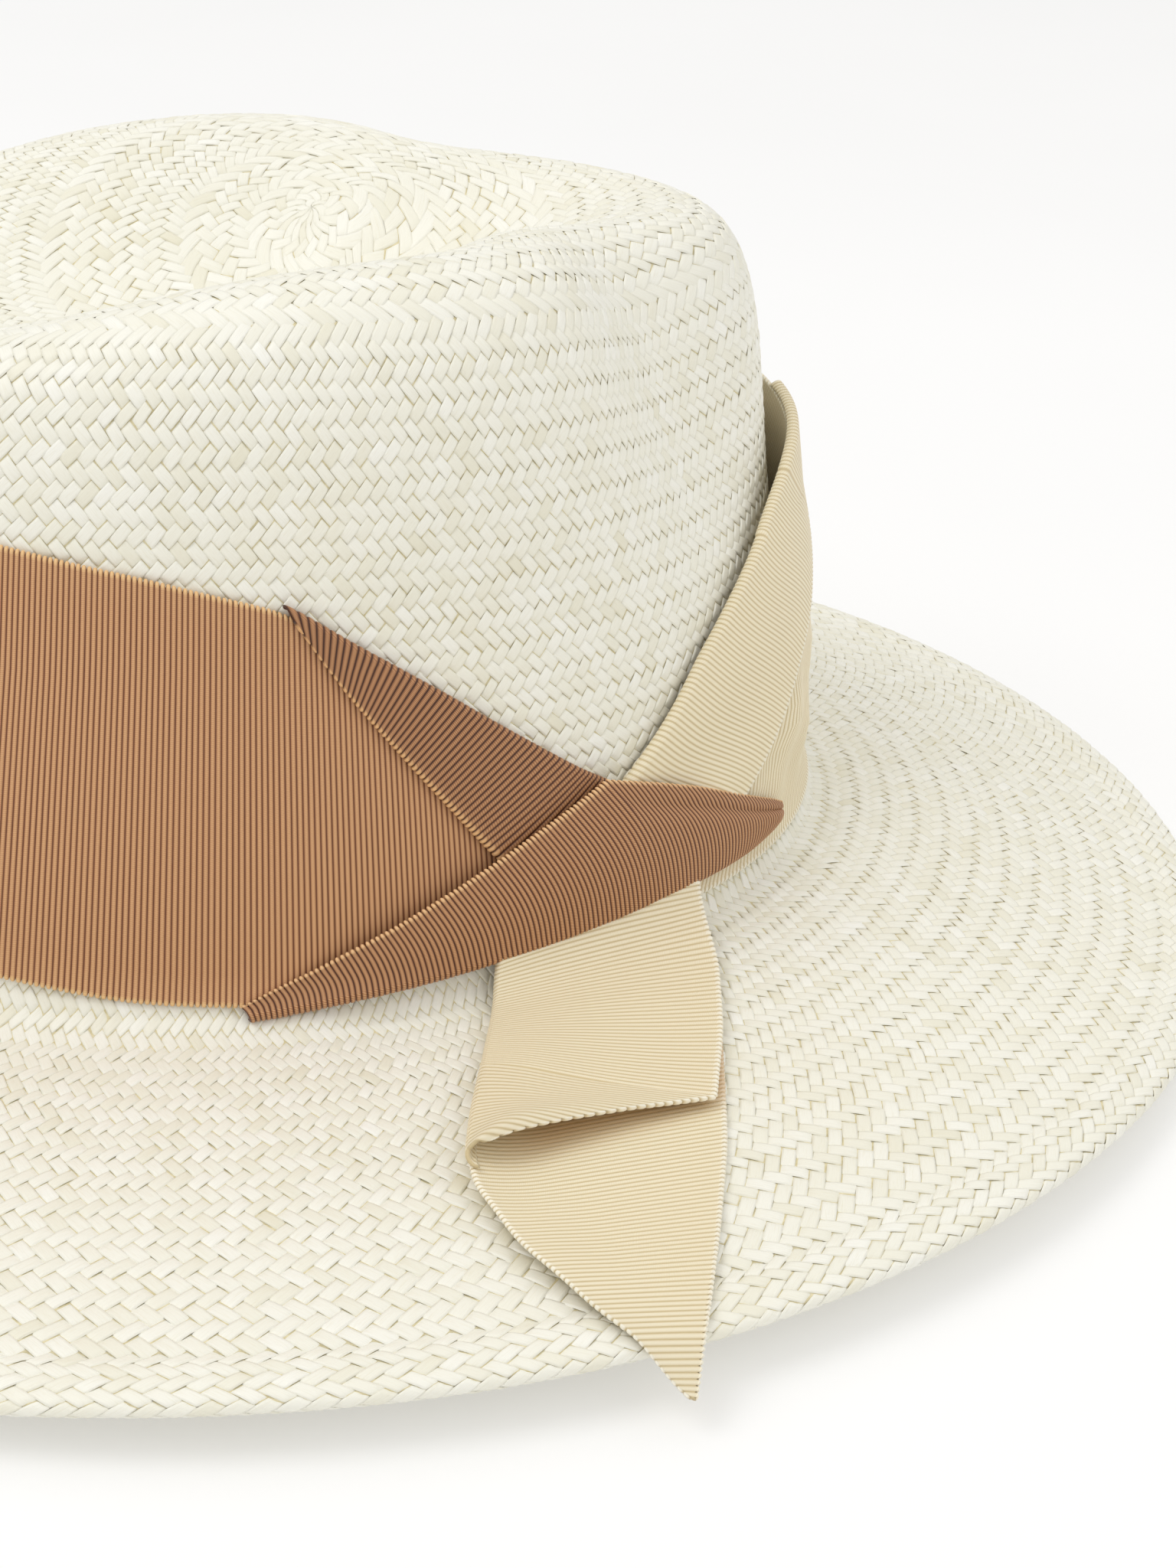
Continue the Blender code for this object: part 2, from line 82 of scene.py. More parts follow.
TAIL_TIP = (0.006, -0.1742, 0.008)

# The tail's tip hangs past the brim, so the hat's axis stands a little off the middle of the whole.
AXIS_Y = -(TAIL_TIP[1] + BRIM_HALF_WIDTH) / 2

DEGREE = np.pi / 180


# ---- The hat's surface -------------------------------------------------------------------------
def smooth_step(low, high, value):
    t = np.clip((value - low) / (high - low), 0, 1)
    return t * t * (3 - 2 * t)


def oval_radius(angle, half_length, half_width):
    across = np.hypot(half_width * np.cos(angle), half_length * np.sin(angle))
    return half_length * half_width / across


def angular_bump(angle, centre, width):
    away = np.angle(np.exp(1j * (angle - centre)))
    return np.exp(-(away / width) ** 2)


def pinches(angle, width):
    return angular_bump(angle, PINCH_ANGLE, width) + angular_bump(angle, -PINCH_ANGLE, width)


def crest(angle):
    """Radius and height of the crown's rim."""
    half_length = np.where(np.cos(angle) > 0, CREST_FRONT, CREST_BACK)
    radius = oval_radius(angle, half_length, CREST_HALF_WIDTH) - PINCH_DEPTH * pinches(angle, 0.34)
    drop = CREST_FRONT_DROP * angular_bump(angle, 0, 0.7) + CREST_BACK_DROP * angular_bump(angle, np.pi, 0.9)
    return radius, CREST_HEIGHT - drop


def top_point(angle, share):
    """Inside the rim: share runs from 0 at the weave's centre to 1 on the rim."""
    radius, _ = crest(angle)
    x = WEAVE_CENTRE[0] * (1 - share) + share * radius * np.cos(angle)
    y = WEAVE_CENTRE[1] * (1 - share) + share * radius * np.sin(angle)
    rim_radius, rim_height = crest(np.arctan2(y, x))
    spread = np.clip(np.hypot(x, y) / rim_radius, 0, 1)
    low = CREST_HEIGHT - DENT_DEPTH
    return np.stack([x, y, low + (rim_height - low) * smooth_step(0.12, 1, spread)], -1)


def edge_height(angle):
    return BRIM_SIDE_LIFT * smooth_step(0.42, 1.0, np.abs(np.sin(angle)))


def profile_curves(angle):
    """Four Bezier curves of (radius, height), from the rim down to the brim's edge."""
    rim, rim_height = crest(angle)
    base = oval_radius(angle, BASE_HALF_LENGTH, BASE_HALF_WIDTH)
    edge = oval_radius(angle, BRIM_HALF_LENGTH, BRIM_HALF_WIDTH)
    lean = BASE_TAPER / (WALL_HEIGHT - SEAM_HEIGHT)
    dents = pinches(angle, 0.32)
    front = angular_bump(angle, 0, 0.6)
    wall = base - BASE_TAPER * (1 - 0.25 * front) - 0.002 * dents
    shoulder = WALL_HEIGHT + 0.030 - 0.006 * dents
    edge_top = edge_height(angle) + EDGE_THICKNESS
    shoulder_radius = wall - lean * (shoulder - WALL_HEIGHT) * (1 - 0.5 * front) - 0.009 * dents + 0.0015
    inner = BRIM_INNER_HEIGHT
    return [
        [(rim, rim_height), (rim + SHOULDER_REACH - 0.003 * dents, rim_height),
         (shoulder_radius, shoulder), (wall, WALL_HEIGHT)],
        [(wall, WALL_HEIGHT), (wall + lean * 0.014 + 0.002 * dents, WALL_HEIGHT - 0.014),
         (base - lean * 0.010, SEAM_HEIGHT + 0.010), (base, SEAM_HEIGHT)],
        [(base, SEAM_HEIGHT), (base + lean * 0.55 * FILLET, SEAM_HEIGHT - 0.55 * FILLET),
         (base + 0.45 * FILLET, inner), (base + FILLET, inner - 0.0003)],
        [(base + FILLET, inner - 0.0003), (base + FILLET + 0.022, inner - 0.0012),
         (edge - 0.025, edge_top + 0.003), (edge, edge_top)],
    ]


def hat_point(angle, station):
    """Point on the straw's outer face. Stations: 0 weave centre, 1 rim, 2 wall, 3 seam, 4 brim, 5 edge."""
    angle, station = np.broadcast_arrays(np.asarray(angle, float), np.asarray(station, float))
    point = top_point(angle, np.clip(station, 0, 1))
    for start, curve in enumerate(profile_curves(angle), start=1):
        t = np.clip(station - start, 0, 1)
        weights = [(1 - t) ** 3, 3 * t * (1 - t) ** 2, 3 * t * t * (1 - t), t ** 3]
        radius = sum(weight * pair[0] for weight, pair in zip(weights, curve))
        height = sum(weight * pair[1] for weight, pair in zip(weights, curve))
        on_curve = np.stack([radius * np.cos(angle), radius * np.sin(angle), height], -1)
        point = np.where((station > start)[..., None], on_curve, point)
    return point


def offset_point(angle, station, offset):
    """Point at a distance from the straw's outer face, positive outwards."""
    step = 1e-4
    station = np.clip(station, 0.03, 5 - step)
    along = hat_point(angle, station + step) - hat_point(angle, station - step)
    around = hat_point(angle + step, station) - hat_point(angle - step, station)
    normal = np.cross(along, around)
    normal /= np.linalg.norm(normal, axis=-1, keepdims=True)
    return hat_point(angle, station) + normal * np.asarray(offset)[..., None]


def wall_station(angle, height):
    """Station on the wall or the bend at a height, by halving."""
    low = np.full(np.broadcast(angle, height).shape, 1.0)
    high = np.full(low.shape, 4.0)
    for _ in range(30):
        middle = (low + high) / 2
        above = hat_point(angle, middle)[..., 2] > height
        low = np.where(above, middle, low)
        high = np.where(above, high, middle)
    return (low + high) / 2


def brim_station(angle, radius):
    """Station on the bend or the brim at a distance from the hat's axis, by halving."""
    low = np.full(np.broadcast(angle, radius).shape, 3.0)
    high = np.full(low.shape, 5.0)
    for _ in range(30):
        middle = (low + high) / 2
        inside = np.linalg.norm(hat_point(angle, middle)[..., :2], axis=-1) < radius
        low = np.where(inside, middle, low)
        high = np.where(inside, high, middle)
    return (low + high) / 2


def on_brim(plan, offset):
    """Point above the brim at a plan position; past the edge it carries on downwards."""
    angle = np.arctan2(plan[..., 1], plan[..., 0])
    radius = np.linalg.norm(plan, axis=-1)
    edge = oval_radius(angle, BRIM_HALF_LENGTH, BRIM_HALF_WIDTH)
    point = offset_point(angle, brim_station(angle, np.minimum(radius, edge)), 0.0)
    past = np.clip(radius - edge, 0, None)
    height = point[..., 2] + offset - 0.25 * past
    return np.concatenate([plan, height[..., None]], -1)


# ---- Meshes ------------------------------------------------------------------------------------
MILLI = 0.001
SHIFT = np.array([0, AXIS_Y, 0])


def new_object(name, vertices, quads, material):
    """Object from points about the hat's axis and rows of four corner numbers."""
    mesh = bpy.data.meshes.new(name)
    mesh.vertices.add(len(vertices))
    mesh.vertices.foreach_set("co", (vertices + SHIFT).astype(np.float32).ravel())
    mesh.loops.add(quads.size)
    mesh.loops.foreach_set("vertex_index", quads.astype(np.int32).ravel())
    mesh.polygons.add(len(quads))
    mesh.polygons.foreach_set("loop_start", np.arange(0, quads.size, 4, dtype=np.int32))
    mesh.update(calc_edges=True)
    mesh.validate()
    mesh.shade_smooth()
    mesh.materials.append(material)
    item = bpy.data.objects.new(name, mesh)
    bpy.context.scene.collection.objects.link(item)
    return item


def add_values(item, name, values):
    """Attribute of one number or three at each vertex."""
    kind = "FLOAT_VECTOR" if values.ndim == 2 else "FLOAT"
    layer = item.data.attributes.new(name, kind, "POINT")
    layer.data.foreach_set("vector" if values.ndim == 2 else "value", values.astype(np.float32).ravel())


def grid_quads(rows, columns, first=0, flip=False, closed=False):
    """Corner numbers of a grid of rows x columns points; closed joins the last column to the first."""
    across = columns if closed else columns - 1
    row, column = np.meshgrid(np.arange(rows - 1), np.arange(across), indexing="ij")
    after = (column + 1) % columns
    corners = [row * columns + column, (row + 1) * columns + column,
               (row + 1) * columns + after, row * columns + after]
    quads = first + np.stack(corners, -1).reshape(-1, 4)
    return quads[:, ::-1] if flip else quads


def sheet_quads(rows, columns):
    """Closed thin sheet: outer points first, then inner points."""
    count = rows * columns
    border = list(range(columns)) + [r * columns + columns - 1 for r in range(1, rows)]
    border += [(rows - 1) * columns + c for c in range(columns - 2, -1, -1)]
    border += [r * columns for r in range(rows - 2, 0, -1)]
    border = np.array(border)
    after = np.roll(border, -1)
    rim = np.stack([border, after, count + after, count + border], -1)
    return np.concatenate([grid_quads(rows, columns), grid_quads(rows, columns, count, flip=True), rim])


def unit(vectors):
    return vectors / np.maximum(np.linalg.norm(vectors, axis=-1, keepdims=True), 1e-12)


# ---- Tables of the straw's surface -------------------------------------------------------------
COLUMNS = 720
TURN = np.arange(COLUMNS + 1) * 2 * np.pi / COLUMNS
WALL_LOW = 0.0158
WALL_STEP = 0.0005
WALL_ROWS = 160


def face_normal(angle, station):
    step = 1e-4
    station = np.clip(station, 0.03, 5 - step)
    down = hat_point(angle, station + step) - hat_point(angle, station - step)
    around = hat_point(angle + step, station) - hat_point(angle - step, station)
    return unit(np.cross(down, around))


def surface_table(station):
    """Points and outward normals, for a station at each angle of TURN and each row."""
    angle = TURN[:, None] + 0 * station
    return hat_point(angle, station), face_normal(angle, station)


def read(table, turn, row):
    """Values between the table's entries: turn in whole turns, row in table rows."""
    column = (turn % 1) * COLUMNS
    left = np.clip(column.astype(int), 0, COLUMNS - 1)
    across = (column - left)[..., None]
    row = np.clip(row, 0, table.shape[1] - 1.001)
    low = row.astype(int)
    down = (row - low)[..., None]
    near = table[left, low] * (1 - down) + table[left, low + 1] * down
    far = table[left + 1, low] * (1 - down) + table[left + 1, low + 1] * down
    return near * (1 - across) + far * across


def by_length(fine, share_of_row):
    """Station for each row at each angle, so that rows take their share of the profile's length."""
    angle = TURN[:, None] + 0 * fine[None, :]
    points = hat_point(angle, fine[None, :] + 0 * angle)
    steps = np.linalg.norm(np.diff(points, axis=1), axis=-1)
    length = np.concatenate([np.zeros((len(TURN), 1)), np.cumsum(steps, axis=1)], axis=1)
    wanted = share_of_row(length[:, -1:])
    rows = [np.interp(wanted[i], length[i] / length[i, -1], fine) for i in range(len(TURN))]
    return np.array(rows)


WALL_HEIGHTS = WALL_LOW + WALL_STEP * np.arange(WALL_ROWS)
WALL = surface_table(wall_station(TURN[:, None] + 0 * WALL_HEIGHTS, WALL_HEIGHTS + 0 * TURN[:, None]))


def on_crown(degrees, height, offset):
    """Point on the wall at an angle and a height, a distance outside the straw."""
    turn = degrees / 360
    row = (height - WALL_LOW) / WALL_STEP
    return read(WALL[0], turn, row) + unit(read(WALL[1], turn, row)) * offset[..., None]


# ---- Woven straw -------------------------------------------------------------------------------
CROWN_ROWS = 67
CROWN_ROW_HEIGHT = 0.00229
BRIM_ROWS = 26
BRIM_FLOATS = 284
TABLE_STEPS = 4                 # table rows per row of the weave
FLOAT_LENGTH = 0.99             # the strand's ends dip under their neighbours
STEP_LENGTH = 1.30              # and further where the number of strands changes
FLOAT_WIDTH = 1.03
BACKING = 0.00016               # the layer under the floats lies this far in
LENGTHS = np.array([-1.0, -0.87, -0.5, 0.0, 0.5, 0.87, 1.0])
WIDTHS = np.array([-1.0, -0.93, -0.6, 0.6, 0.93, 1.0])
INNER_LENGTHS = np.array([-1.0, -0.6, 0.6, 1.0])
INNER_WIDTHS = np.array([-1.0, -0.8, 0.8, 1.0])
MOST_QUADS = 95000              # in one piece


def crown_share(length):
    """Even rows at the foot of the crown, closer or wider ones towards the centre of the weave."""
    row = np.arange(CROWN_ROWS * TABLE_STEPS + 1) / (CROWN_ROWS * TABLE_STEPS)
    first = 2 - CROWN_ROWS * CROWN_ROW_HEIGHT / length
    return first * row + (1 - first) * row ** 2


def crown_count(row):
    """Floats round a row: the weaver adds strands as the rings grow."""
    for last, count in ((1, 8), (4, 16), (8, 32), (16, 64), (30, 128)):
        if row < last:
            return count
    return 190


def float_lift(along, across):
    """Height of a float above the straw's face, in millimetres."""
    arch = 1 - np.abs(along) ** 2.5
    side = np.abs(across)
    return -0.08 + 0.24 * arch - 0.04 * side ** 3 - 0.20 * (side > 0.95) - 0.16 * (np.abs(along) > 0.95)


def weave(name, tables, rows, count_of, inward, material, random, margin=0):
    """Floats of a two-over-two herringbone. inward turns them to the straw's inner face.

    margin is the number of rows that the tables hold before the first one.
    """
    lengths, widths = (INNER_LENGTHS, INNER_WIDTHS) if inward else (LENGTHS, WIDTHS)
    along, across = np.meshgrid(lengths, widths, indexing="ij")
    per_float = grid_quads(len(lengths), len(widths))
    corners = len(lengths) * len(widths)
    points, quads, tones, strands = [], [], [], []
    for row in rows:
        count = count_of(row)
        steps = {count_of(row - 1), count_of(row + 1), count}
        length = 0.5 * (FLOAT_LENGTH if len(steps) == 1 or inward else STEP_LENGTH)
        odd = row % 2
        sign = 1 if odd else -1
        place = np.arange(count) + (0.25 if odd else 0.75)
        tone = random.normal(0, 1, count)
        wide = FLOAT_WIDTH + random.normal(0, 0.045, count)
        high = random.normal(0, 0.03, count)
        tilt = random.normal(0, 0.025, count)
        twist = random.normal(0, 0.03, count)
        part = (slice(None), None, None)
        x = place[part] + length * along + 0.25 * across * wide[part] + twist[part] * along
        y = row + 0.5 + margin + sign * (length * along - 0.25 * across * wide[part])
        lift = float_lift(along, across) + high[part] * (1 - along ** 2) + tilt[part] * across
        turn = x / count
        base = read(tables[0], turn, y * TABLE_STEPS)
        normal = unit(read(tables[1], turn, y * TABLE_STEPS))
        depth = (-STRAW - lift * MILLI) if inward else lift * MILLI
        points.append((base + normal * depth[..., None]).reshape(-1, 3))
        first = sum(len(p) for p in points[:-1])
        corner = first + corners * np.arange(count)[:, None, None] + per_float
        corner = corner.reshape(-1, 4)
        quads.append(corner[:, ::-1] if bool(odd) == inward else corner)
        tones.append(np.repeat(tone, corners))
        label = random.uniform(0, 100, count)
        strand = np.stack([along + label[part], across + 0 * place[part], label[part] + 0 * along], -1)
        strands.append(strand.reshape(-1, 3))
    item = new_object(name, np.concatenate(points), np.concatenate(quads), material)
    add_values(item, "tone", np.concatenate(tones))
    add_values(item, "strand", np.concatenate(strands))
    return item


def row_groups(first, last, count_of, quads_each):
    """Rows shared out so that no piece is too heavy."""
    groups, total = [[]], 0
    for row in range(first, last):
        size = count_of(row) * quads_each
        if total + size > MOST_QUADS:
            groups.append([])
            total = 0
        groups[-1].append(row)
        total += size
    return groups


def woven(name, tables, first, last, count_of, material, random):
    """Both faces of the weave, as pieces named after the part of the straw."""
    pieces = []
    for side, inward, each in (("outer", False, 24), ("inner", True, 9)):
        for number, rows in enumerate(row_groups(first, last, count_of, each), start=1):
            label = f"{name}_{side}_weave_{number}"
            pieces.append(weave(label, tables, rows, count_of, inward, material, random))
    return pieces


def backing(name, tables, first_row, material, cap):
    """Closed shell just under the floats, both sides."""
    turn = np.arange(180) / 180
    rows = np.arange(first_row, (tables[0].shape[1] - 1) // TABLE_STEPS + 1)
    grid_turn, grid_row = np.meshgrid(turn, rows)
    base = read(tables[0], grid_turn, grid_row * TABLE_STEPS)
    normal = unit(read(tables[1], grid_turn, grid_row * TABLE_STEPS))
    outer = (base - normal * BACKING).reshape(-1, 3)
    inner = (base - normal * (STRAW - BACKING)).reshape(-1, 3)
    count = len(outer)
    quads = [grid_quads(len(rows), 180, closed=True),
             grid_quads(len(rows), 180, count, flip=True, closed=True)]
    column = np.arange(180)
    after = (column + 1) % 180
    last = (len(rows) - 1) * 180
    quads.append(np.stack([last + column, last + count + column, last + count + after, last + after], -1))
    if not cap:
        quads.append(np.stack([column, after, count + after, count + column], -1))
    item = new_object(name, np.concatenate([outer, inner]), np.concatenate(quads), material)
    if cap:
        close_rings(item, [list(range(180)), list(range(count, count + 180))])
    return item


def close_rings(item, rings):
    """Fans over open rings, such as the middle of the crown's tip."""
    mesh = item.data
    points = [tuple(v.co) for v in mesh.vertices]
    faces = [tuple(p.vertices) for p in mesh.polygons]
    for number, ring in enumerate(rings):
        centre = np.mean([points[i] for i in ring], axis=0)
        points.append(tuple(centre))
        middle = len(points) - 1
        for here, after in zip(ring, ring[1:] + ring[:1]):
            faces.append((middle, after, here) if number else (middle, here, after))
    mesh.clear_geometry()
    mesh.from_pydata(points, [], faces)
    mesh.update()
    mesh.shade_smooth()


# ---- The brim's turned edge --------------------------------------------------------------------
HEM_ROWS = 9
HEM_MARGIN = 0.00235            # the table starts this far inside the hem: one row
HEM_RADIUS = 0.00125            # half the thickness of the rolled rim


def hem_table():
    """Section of the hem at each angle, from its start on top, round the rim and back below."""
    angle = TURN
    out = np.stack([np.cos(angle), np.sin(angle), 0 * angle], -1)
    edge = oval_radius(angle, BRIM_HALF_LENGTH, BRIM_HALF_WIDTH)
    base = edge_height(angle)
    sections = []
    for inset in np.linspace(HEM_WIDTH + HEM_MARGIN, HEM_RADIUS + 0.0004, 12):
        point = hat_point(angle, brim_station(angle, edge - inset))
        raised = (0.0004 * smooth_step(0.0, 0.3, 1 - inset / HEM_WIDTH)
                  * smooth_step(0.1, 0.5, inset / HEM_WIDTH))
        raised = raised - 0.00025 * np.exp(-((inset - HEM_WIDTH) / 0.0007) ** 2)
        sections.append(point + np.array([0, 0, 1]) * raised)
    middle = base + HEM_RADIUS
    for bend in np.linspace(75, -90, 8) * DEGREE:
        radius = edge - HEM_RADIUS + HEM_RADIUS * np.cos(bend)
        height = middle + HEM_RADIUS * np.sin(bend)
        sections.append(out * radius[:, None] + np.array([0, 0, 1]) * height[:, None])
    for inset in np.linspace(0.003, HEM_WIDTH, 4):
        lift = 0.0006 * (inset == HEM_WIDTH)
        sections.append(out * (edge - inset)[:, None] + np.array([0, 0, 1]) * (base + lift)[:, None])
    section = np.stack(sections, 1)
    steps = np.linalg.norm(np.diff(section, axis=1), axis=-1)
    length = np.concatenate([np.zeros((len(angle), 1)), np.cumsum(steps, axis=1)], axis=1)
    wanted = np.linspace(0, 1, (HEM_ROWS + 1) * TABLE_STEPS + 1)
    points = np.empty((len(angle), len(wanted), 3))
    for i in range(len(angle)):
        for axis in range(3):
            points[i, :, axis] = np.interp(wanted, length[i] / length[i, -1], section[i, :, axis])
    down = np.gradient(points, axis=1)
    ahead = np.roll(points[:-1], -1, axis=0) - np.roll(points[:-1], 1, axis=0)
    around = np.concatenate([ahead, ahead[:1]])
    return points, unit(np.cross(down, around))


# ---- Ribbons -----------------------------------------------------------------------------------
RIB_PITCH = 0.00088
RIB_HEIGHT = 0.00019
CREAM_PITCH = 0.00088
CREAM_RIB_HEIGHT = 0.00011
RIB_SAMPLES = 6
SCALLOP = 0.00065               # the ribs stand out this much at a woven edge


def rib_shape(phase):
    inside = 2 * (phase % 1) - 1
    return np.sqrt(np.clip(1 - inside ** 2, 0, 1))


def rib_places(place, pitch):
    """Shares u at which the samples of each rib lie, so that the ribs are evenly wide."""
    fine = np.linspace(0, 1, 900)
    middle = place(fine, 0 * fine + 0.5)
    rib = unit(place(fine, 0 * fine + 0.52) - place(fine, 0 * fine + 0.48))
    step = np.diff(middle, axis=0)
    slide = (step * rib[:-1]).sum(-1, keepdims=True)
    width = np.concatenate([[0], np.cumsum(np.linalg.norm(step - rib[:-1] * slide, axis=-1))])
    ribs = max(2, round(width[-1] / pitch))
    samples = np.linspace(0, ribs, ribs * RIB_SAMPLES + 1)
    return np.interp(samples / ribs, width / width[-1], fine), samples


def edge_rows(count, width):
    """Shares v across a ribbon, close together at its two woven edges."""
    near = np.array([0, 0.00028, 0.00075]) / width
    return np.concatenate([near[:2], np.linspace(near[2], 1 - near[2], count), 1 - near[1::-1]])


def rolled(points, normals, tangent, radius, bend, slide=0.0, reach=1.0):
    """Extra rows where the ribbon's edge turns over towards the hat.

    slide carries the ends of the rows further on; reach flattens the turn sideways.
    """
    rows = []
    ahead = unit(np.gradient(points, axis=0))
    late = smooth_step(0.6, 1.0, np.linspace(0, 1, len(points)))[:, None]
    for angle in np.linspace(0, bend, 7)[1:]:
        shift = radius * (reach * np.sin(angle) * tangent - (1 - np.cos(angle)) * normals)
        shift = shift + ahead * late * slide * angle
        rows.append((points + shift, np.cos(angle) * normals + np.sin(angle) * tangent))
    return rows


def ribbon(name, place, material, across=16, pitch=RIB_PITCH, high=RIB_HEIGHT, low_roll=0, high_roll=0,
           scallop=(1, 1), bend=np.pi * 0.95, slide=0.0, reach=1.0):
    """Grosgrain ribbon: place(u, v) gives its middle surface, and the ribs lie along v.

    low_roll and high_roll are the radius with which an edge is turned under; without one the edge is woven.
    """
    share, phase = rib_places(place, pitch)
    half_way = np.array([0.5])
    wide = float(np.linalg.norm(place(half_way, np.array([1.0])) - place(half_way, np.array([0.0]))))
    v = edge_rows(across, wide)
    u_grid, v_grid = np.meshgrid(share, v)
    points = place(u_grid, v_grid)
    along_u = np.gradient(points, axis=1)
    along_v = np.gradient(points, axis=0)
    normals = unit(np.cross(along_u, along_v))
    rows = [(points[i], normals[i]) for i in range(len(v))]
    shape = rib_shape(phase)
    outwards = unit(along_v)
    if low_roll:
        radius = low_roll(share)[:, None] if callable(low_roll) else low_roll
        rows = rolled(points[0], normals[0], -outwards[0], radius, bend, slide, reach)[::-1] + rows
    if high_roll:
        rows = rows + rolled(points[-1], normals[-1], outwards[-1], high_roll, bend)
    centre = np.array([row[0] for row in rows])
    normal = np.array([row[1] for row in rows])
    wavy = SCALLOP * (shape - 0.5)[:, None]
    taper = np.ones(len(rows))
    edge_highlight_mask = np.zeros(len(rows))
    # The woven edge rows are marked for a painted highlight in the material.
    if not low_roll:
        centre[0] -= outwards[0] * wavy * scallop[0]
        centre[1] -= outwards[1] * wavy * scallop[0] * 0.7
        taper[0] = 0.5
        taper[1] = 1.25
        edge_highlight_mask[:3] = (1, 1, 0.1)
    if not high_roll:
        centre[-1] += outwards[-1] * wavy * scallop[1]
        centre[-2] += outwards[-2] * wavy * scallop[1] * 0.7
        taper[-1] = 0.5
        taper[-2] = 1.25
        edge_highlight_mask[-3:] = (0.1, 1, 1)
    core = RIBBON / 2 - high
    half = (core + high * shape[None, :]) * taper[:, None]
    outer = centre + normal * half[..., None]
    inner = centre - normal * half[..., None]
    vertices = np.concatenate([outer.reshape(-1, 3), inner.reshape(-1, 3)])
    count = len(vertices) // 2
    quads = sheet_quads(len(rows), len(share))
    corner = vertices[quads[0]]
    facing = np.cross(corner[1] - corner[0], corner[2] - corner[1])
    if facing @ normal[0, 0] < 0:
        quads = quads[:, ::-1]
    item = new_object(name, vertices, quads, material)
    run = np.concatenate([[0], np.cumsum(np.linalg.norm(
        np.diff(centre[:, len(share) // 2], axis=0), axis=-1))])
    weft = np.zeros((len(rows), len(share), 3))
    weft[..., 0] = phase[None, :]
    weft[..., 1] = run[:, None] / MILLI
    # Third value: where the woven edges take a painted highlight.
    weft[..., 2] = edge_highlight_mask[:, None]
    add_values(item, "weft", np.tile(weft.reshape(-1, 3), (2, 1)))
    add_values(item, "rib", np.tile((shape[None, :] + 0 * taper[:, None]).reshape(-1), 2))
    assert count * 2 == len(vertices)
    return item


def ruled(upper, lower, offset, bow=0.0, wave=0.0):
    """Place function for a ribbon on the wall, between two lists of (degrees, height in metres)."""
    def place(u, v):
        top = smooth_along(upper, u)
        bottom = smooth_along(lower, u)
        at = bottom + (top - bottom) * v[..., None]
        tall = (top - bottom)[..., 1] / 0.025
        degrees = at[..., 0] + (bow * np.sin(np.pi * v) + wave * np.sin(2 * np.pi * v)) * tall
        return on_crown(degrees, at[..., 1], offset(degrees, at[..., 1], u, v))
    return place


def smooth_along(points, share):
    """As along(), rounded at the corners."""
    corners = np.array(points, float)
    spots = np.linspace(0, 1, len(corners))
    fine = np.linspace(0, 1, 241)
    table = np.stack([np.interp(fine, spots, corners[:, axis]) for axis in range(corners.shape[1])], -1)
    width = 241 // (6 * (len(corners) - 1)) if len(corners) > 2 else 0
    for _ in range(2 if width else 0):
        padded = np.concatenate([2 * table[:1] - table[width:0:-1], table,
                                 2 * table[-1:] - table[-2:-width - 2:-1]])
        total = np.cumsum(np.concatenate([np.zeros((1, corners.shape[1])), padded]), axis=0)
        table = (total[2 * width + 1:] - total[:-2 * width - 1]) / (2 * width + 1)
    return np.stack([np.interp(share, fine, table[:, axis]) for axis in range(corners.shape[1])], -1)


HALF = RIBBON / 2
FOLD_GAP = RIBBON + GAP


def tan_offset(degrees, height):
    """On the straw, then over the cream ribbon's end at the join."""
    return ON_STRAW + (RIBBON + GAP + 0.0002) * smooth_step(252, 259, -degrees) + 0 * height


def crossing_offset(degrees, height):
    """Close to the band at its left end, lifted where it crosses the folds and the cream ribbon."""
    return CROSSING_LOW + (CROSSING_HIGH - CROSSING_LOW) * smooth_step(-106, -92, degrees) + 0 * height


def front_stand_off(degrees, height):
    """The cream ribbon stands off the crown across the front."""
    front = np.exp(-((degrees + 4) / 34) ** 2)
    return ON_STRAW + FRONT_STAND_OFF * front * smooth_step(0.018, 0.045, height)


def tan_band(material):
    """Ribs stand straight up; the band narrows under the fold and the crossing."""
    upper = [(-64.5, 0.0450), (-84, 0.0620), (-103, 0.0790), (-119, 0.0845), (-135, 0.0885), (-150, 0.0905),
             (-165, 0.0920), (-195, 0.0920), (-225, 0.0900), (-266, 0.0872)]
    lower = [(-64.5, 0.0400), (-84, 0.0300), (-103, 0.0190), (-119, 0.0203), (-135, 0.0235), (-150, 0.0250),
             (-165, 0.0265), (-195, 0.0265), (-225, 0.0245), (-266, 0.0212)]

    def offset(degrees, height, u, v):
        return tan_offset(degrees, height) + HALF + 0 * u

    return ribbon("tan_ribbon_band", ruled(upper, lower, offset), material)


def tan_flap(material):
    """Corner turned down over the band along a slanting fold."""
    upper = [(-103.2, 0.0800), (-96, 0.0735), (-84.5, 0.0636), (-75, 0.0545), (-68.4, 0.0480),
             (-64.5, 0.0445)]
    lower = [(-102.4, 0.0780), (-97, 0.0675), (-90.5, 0.0565), (-84.5, 0.0462), (-80.6, 0.0392),
             (-76.5, 0.0325)]

    def offset(degrees, height, u, v):
        return ON_STRAW + HALF + FOLD_GAP + 0.0004 * (1 - v) + 0 * degrees

    return ribbon("tan_ribbon_upper_fold", ruled(upper, lower, offset), material, pitch=0.00102,
                  high_roll=0.0006,
                  scallop=(1, 0))


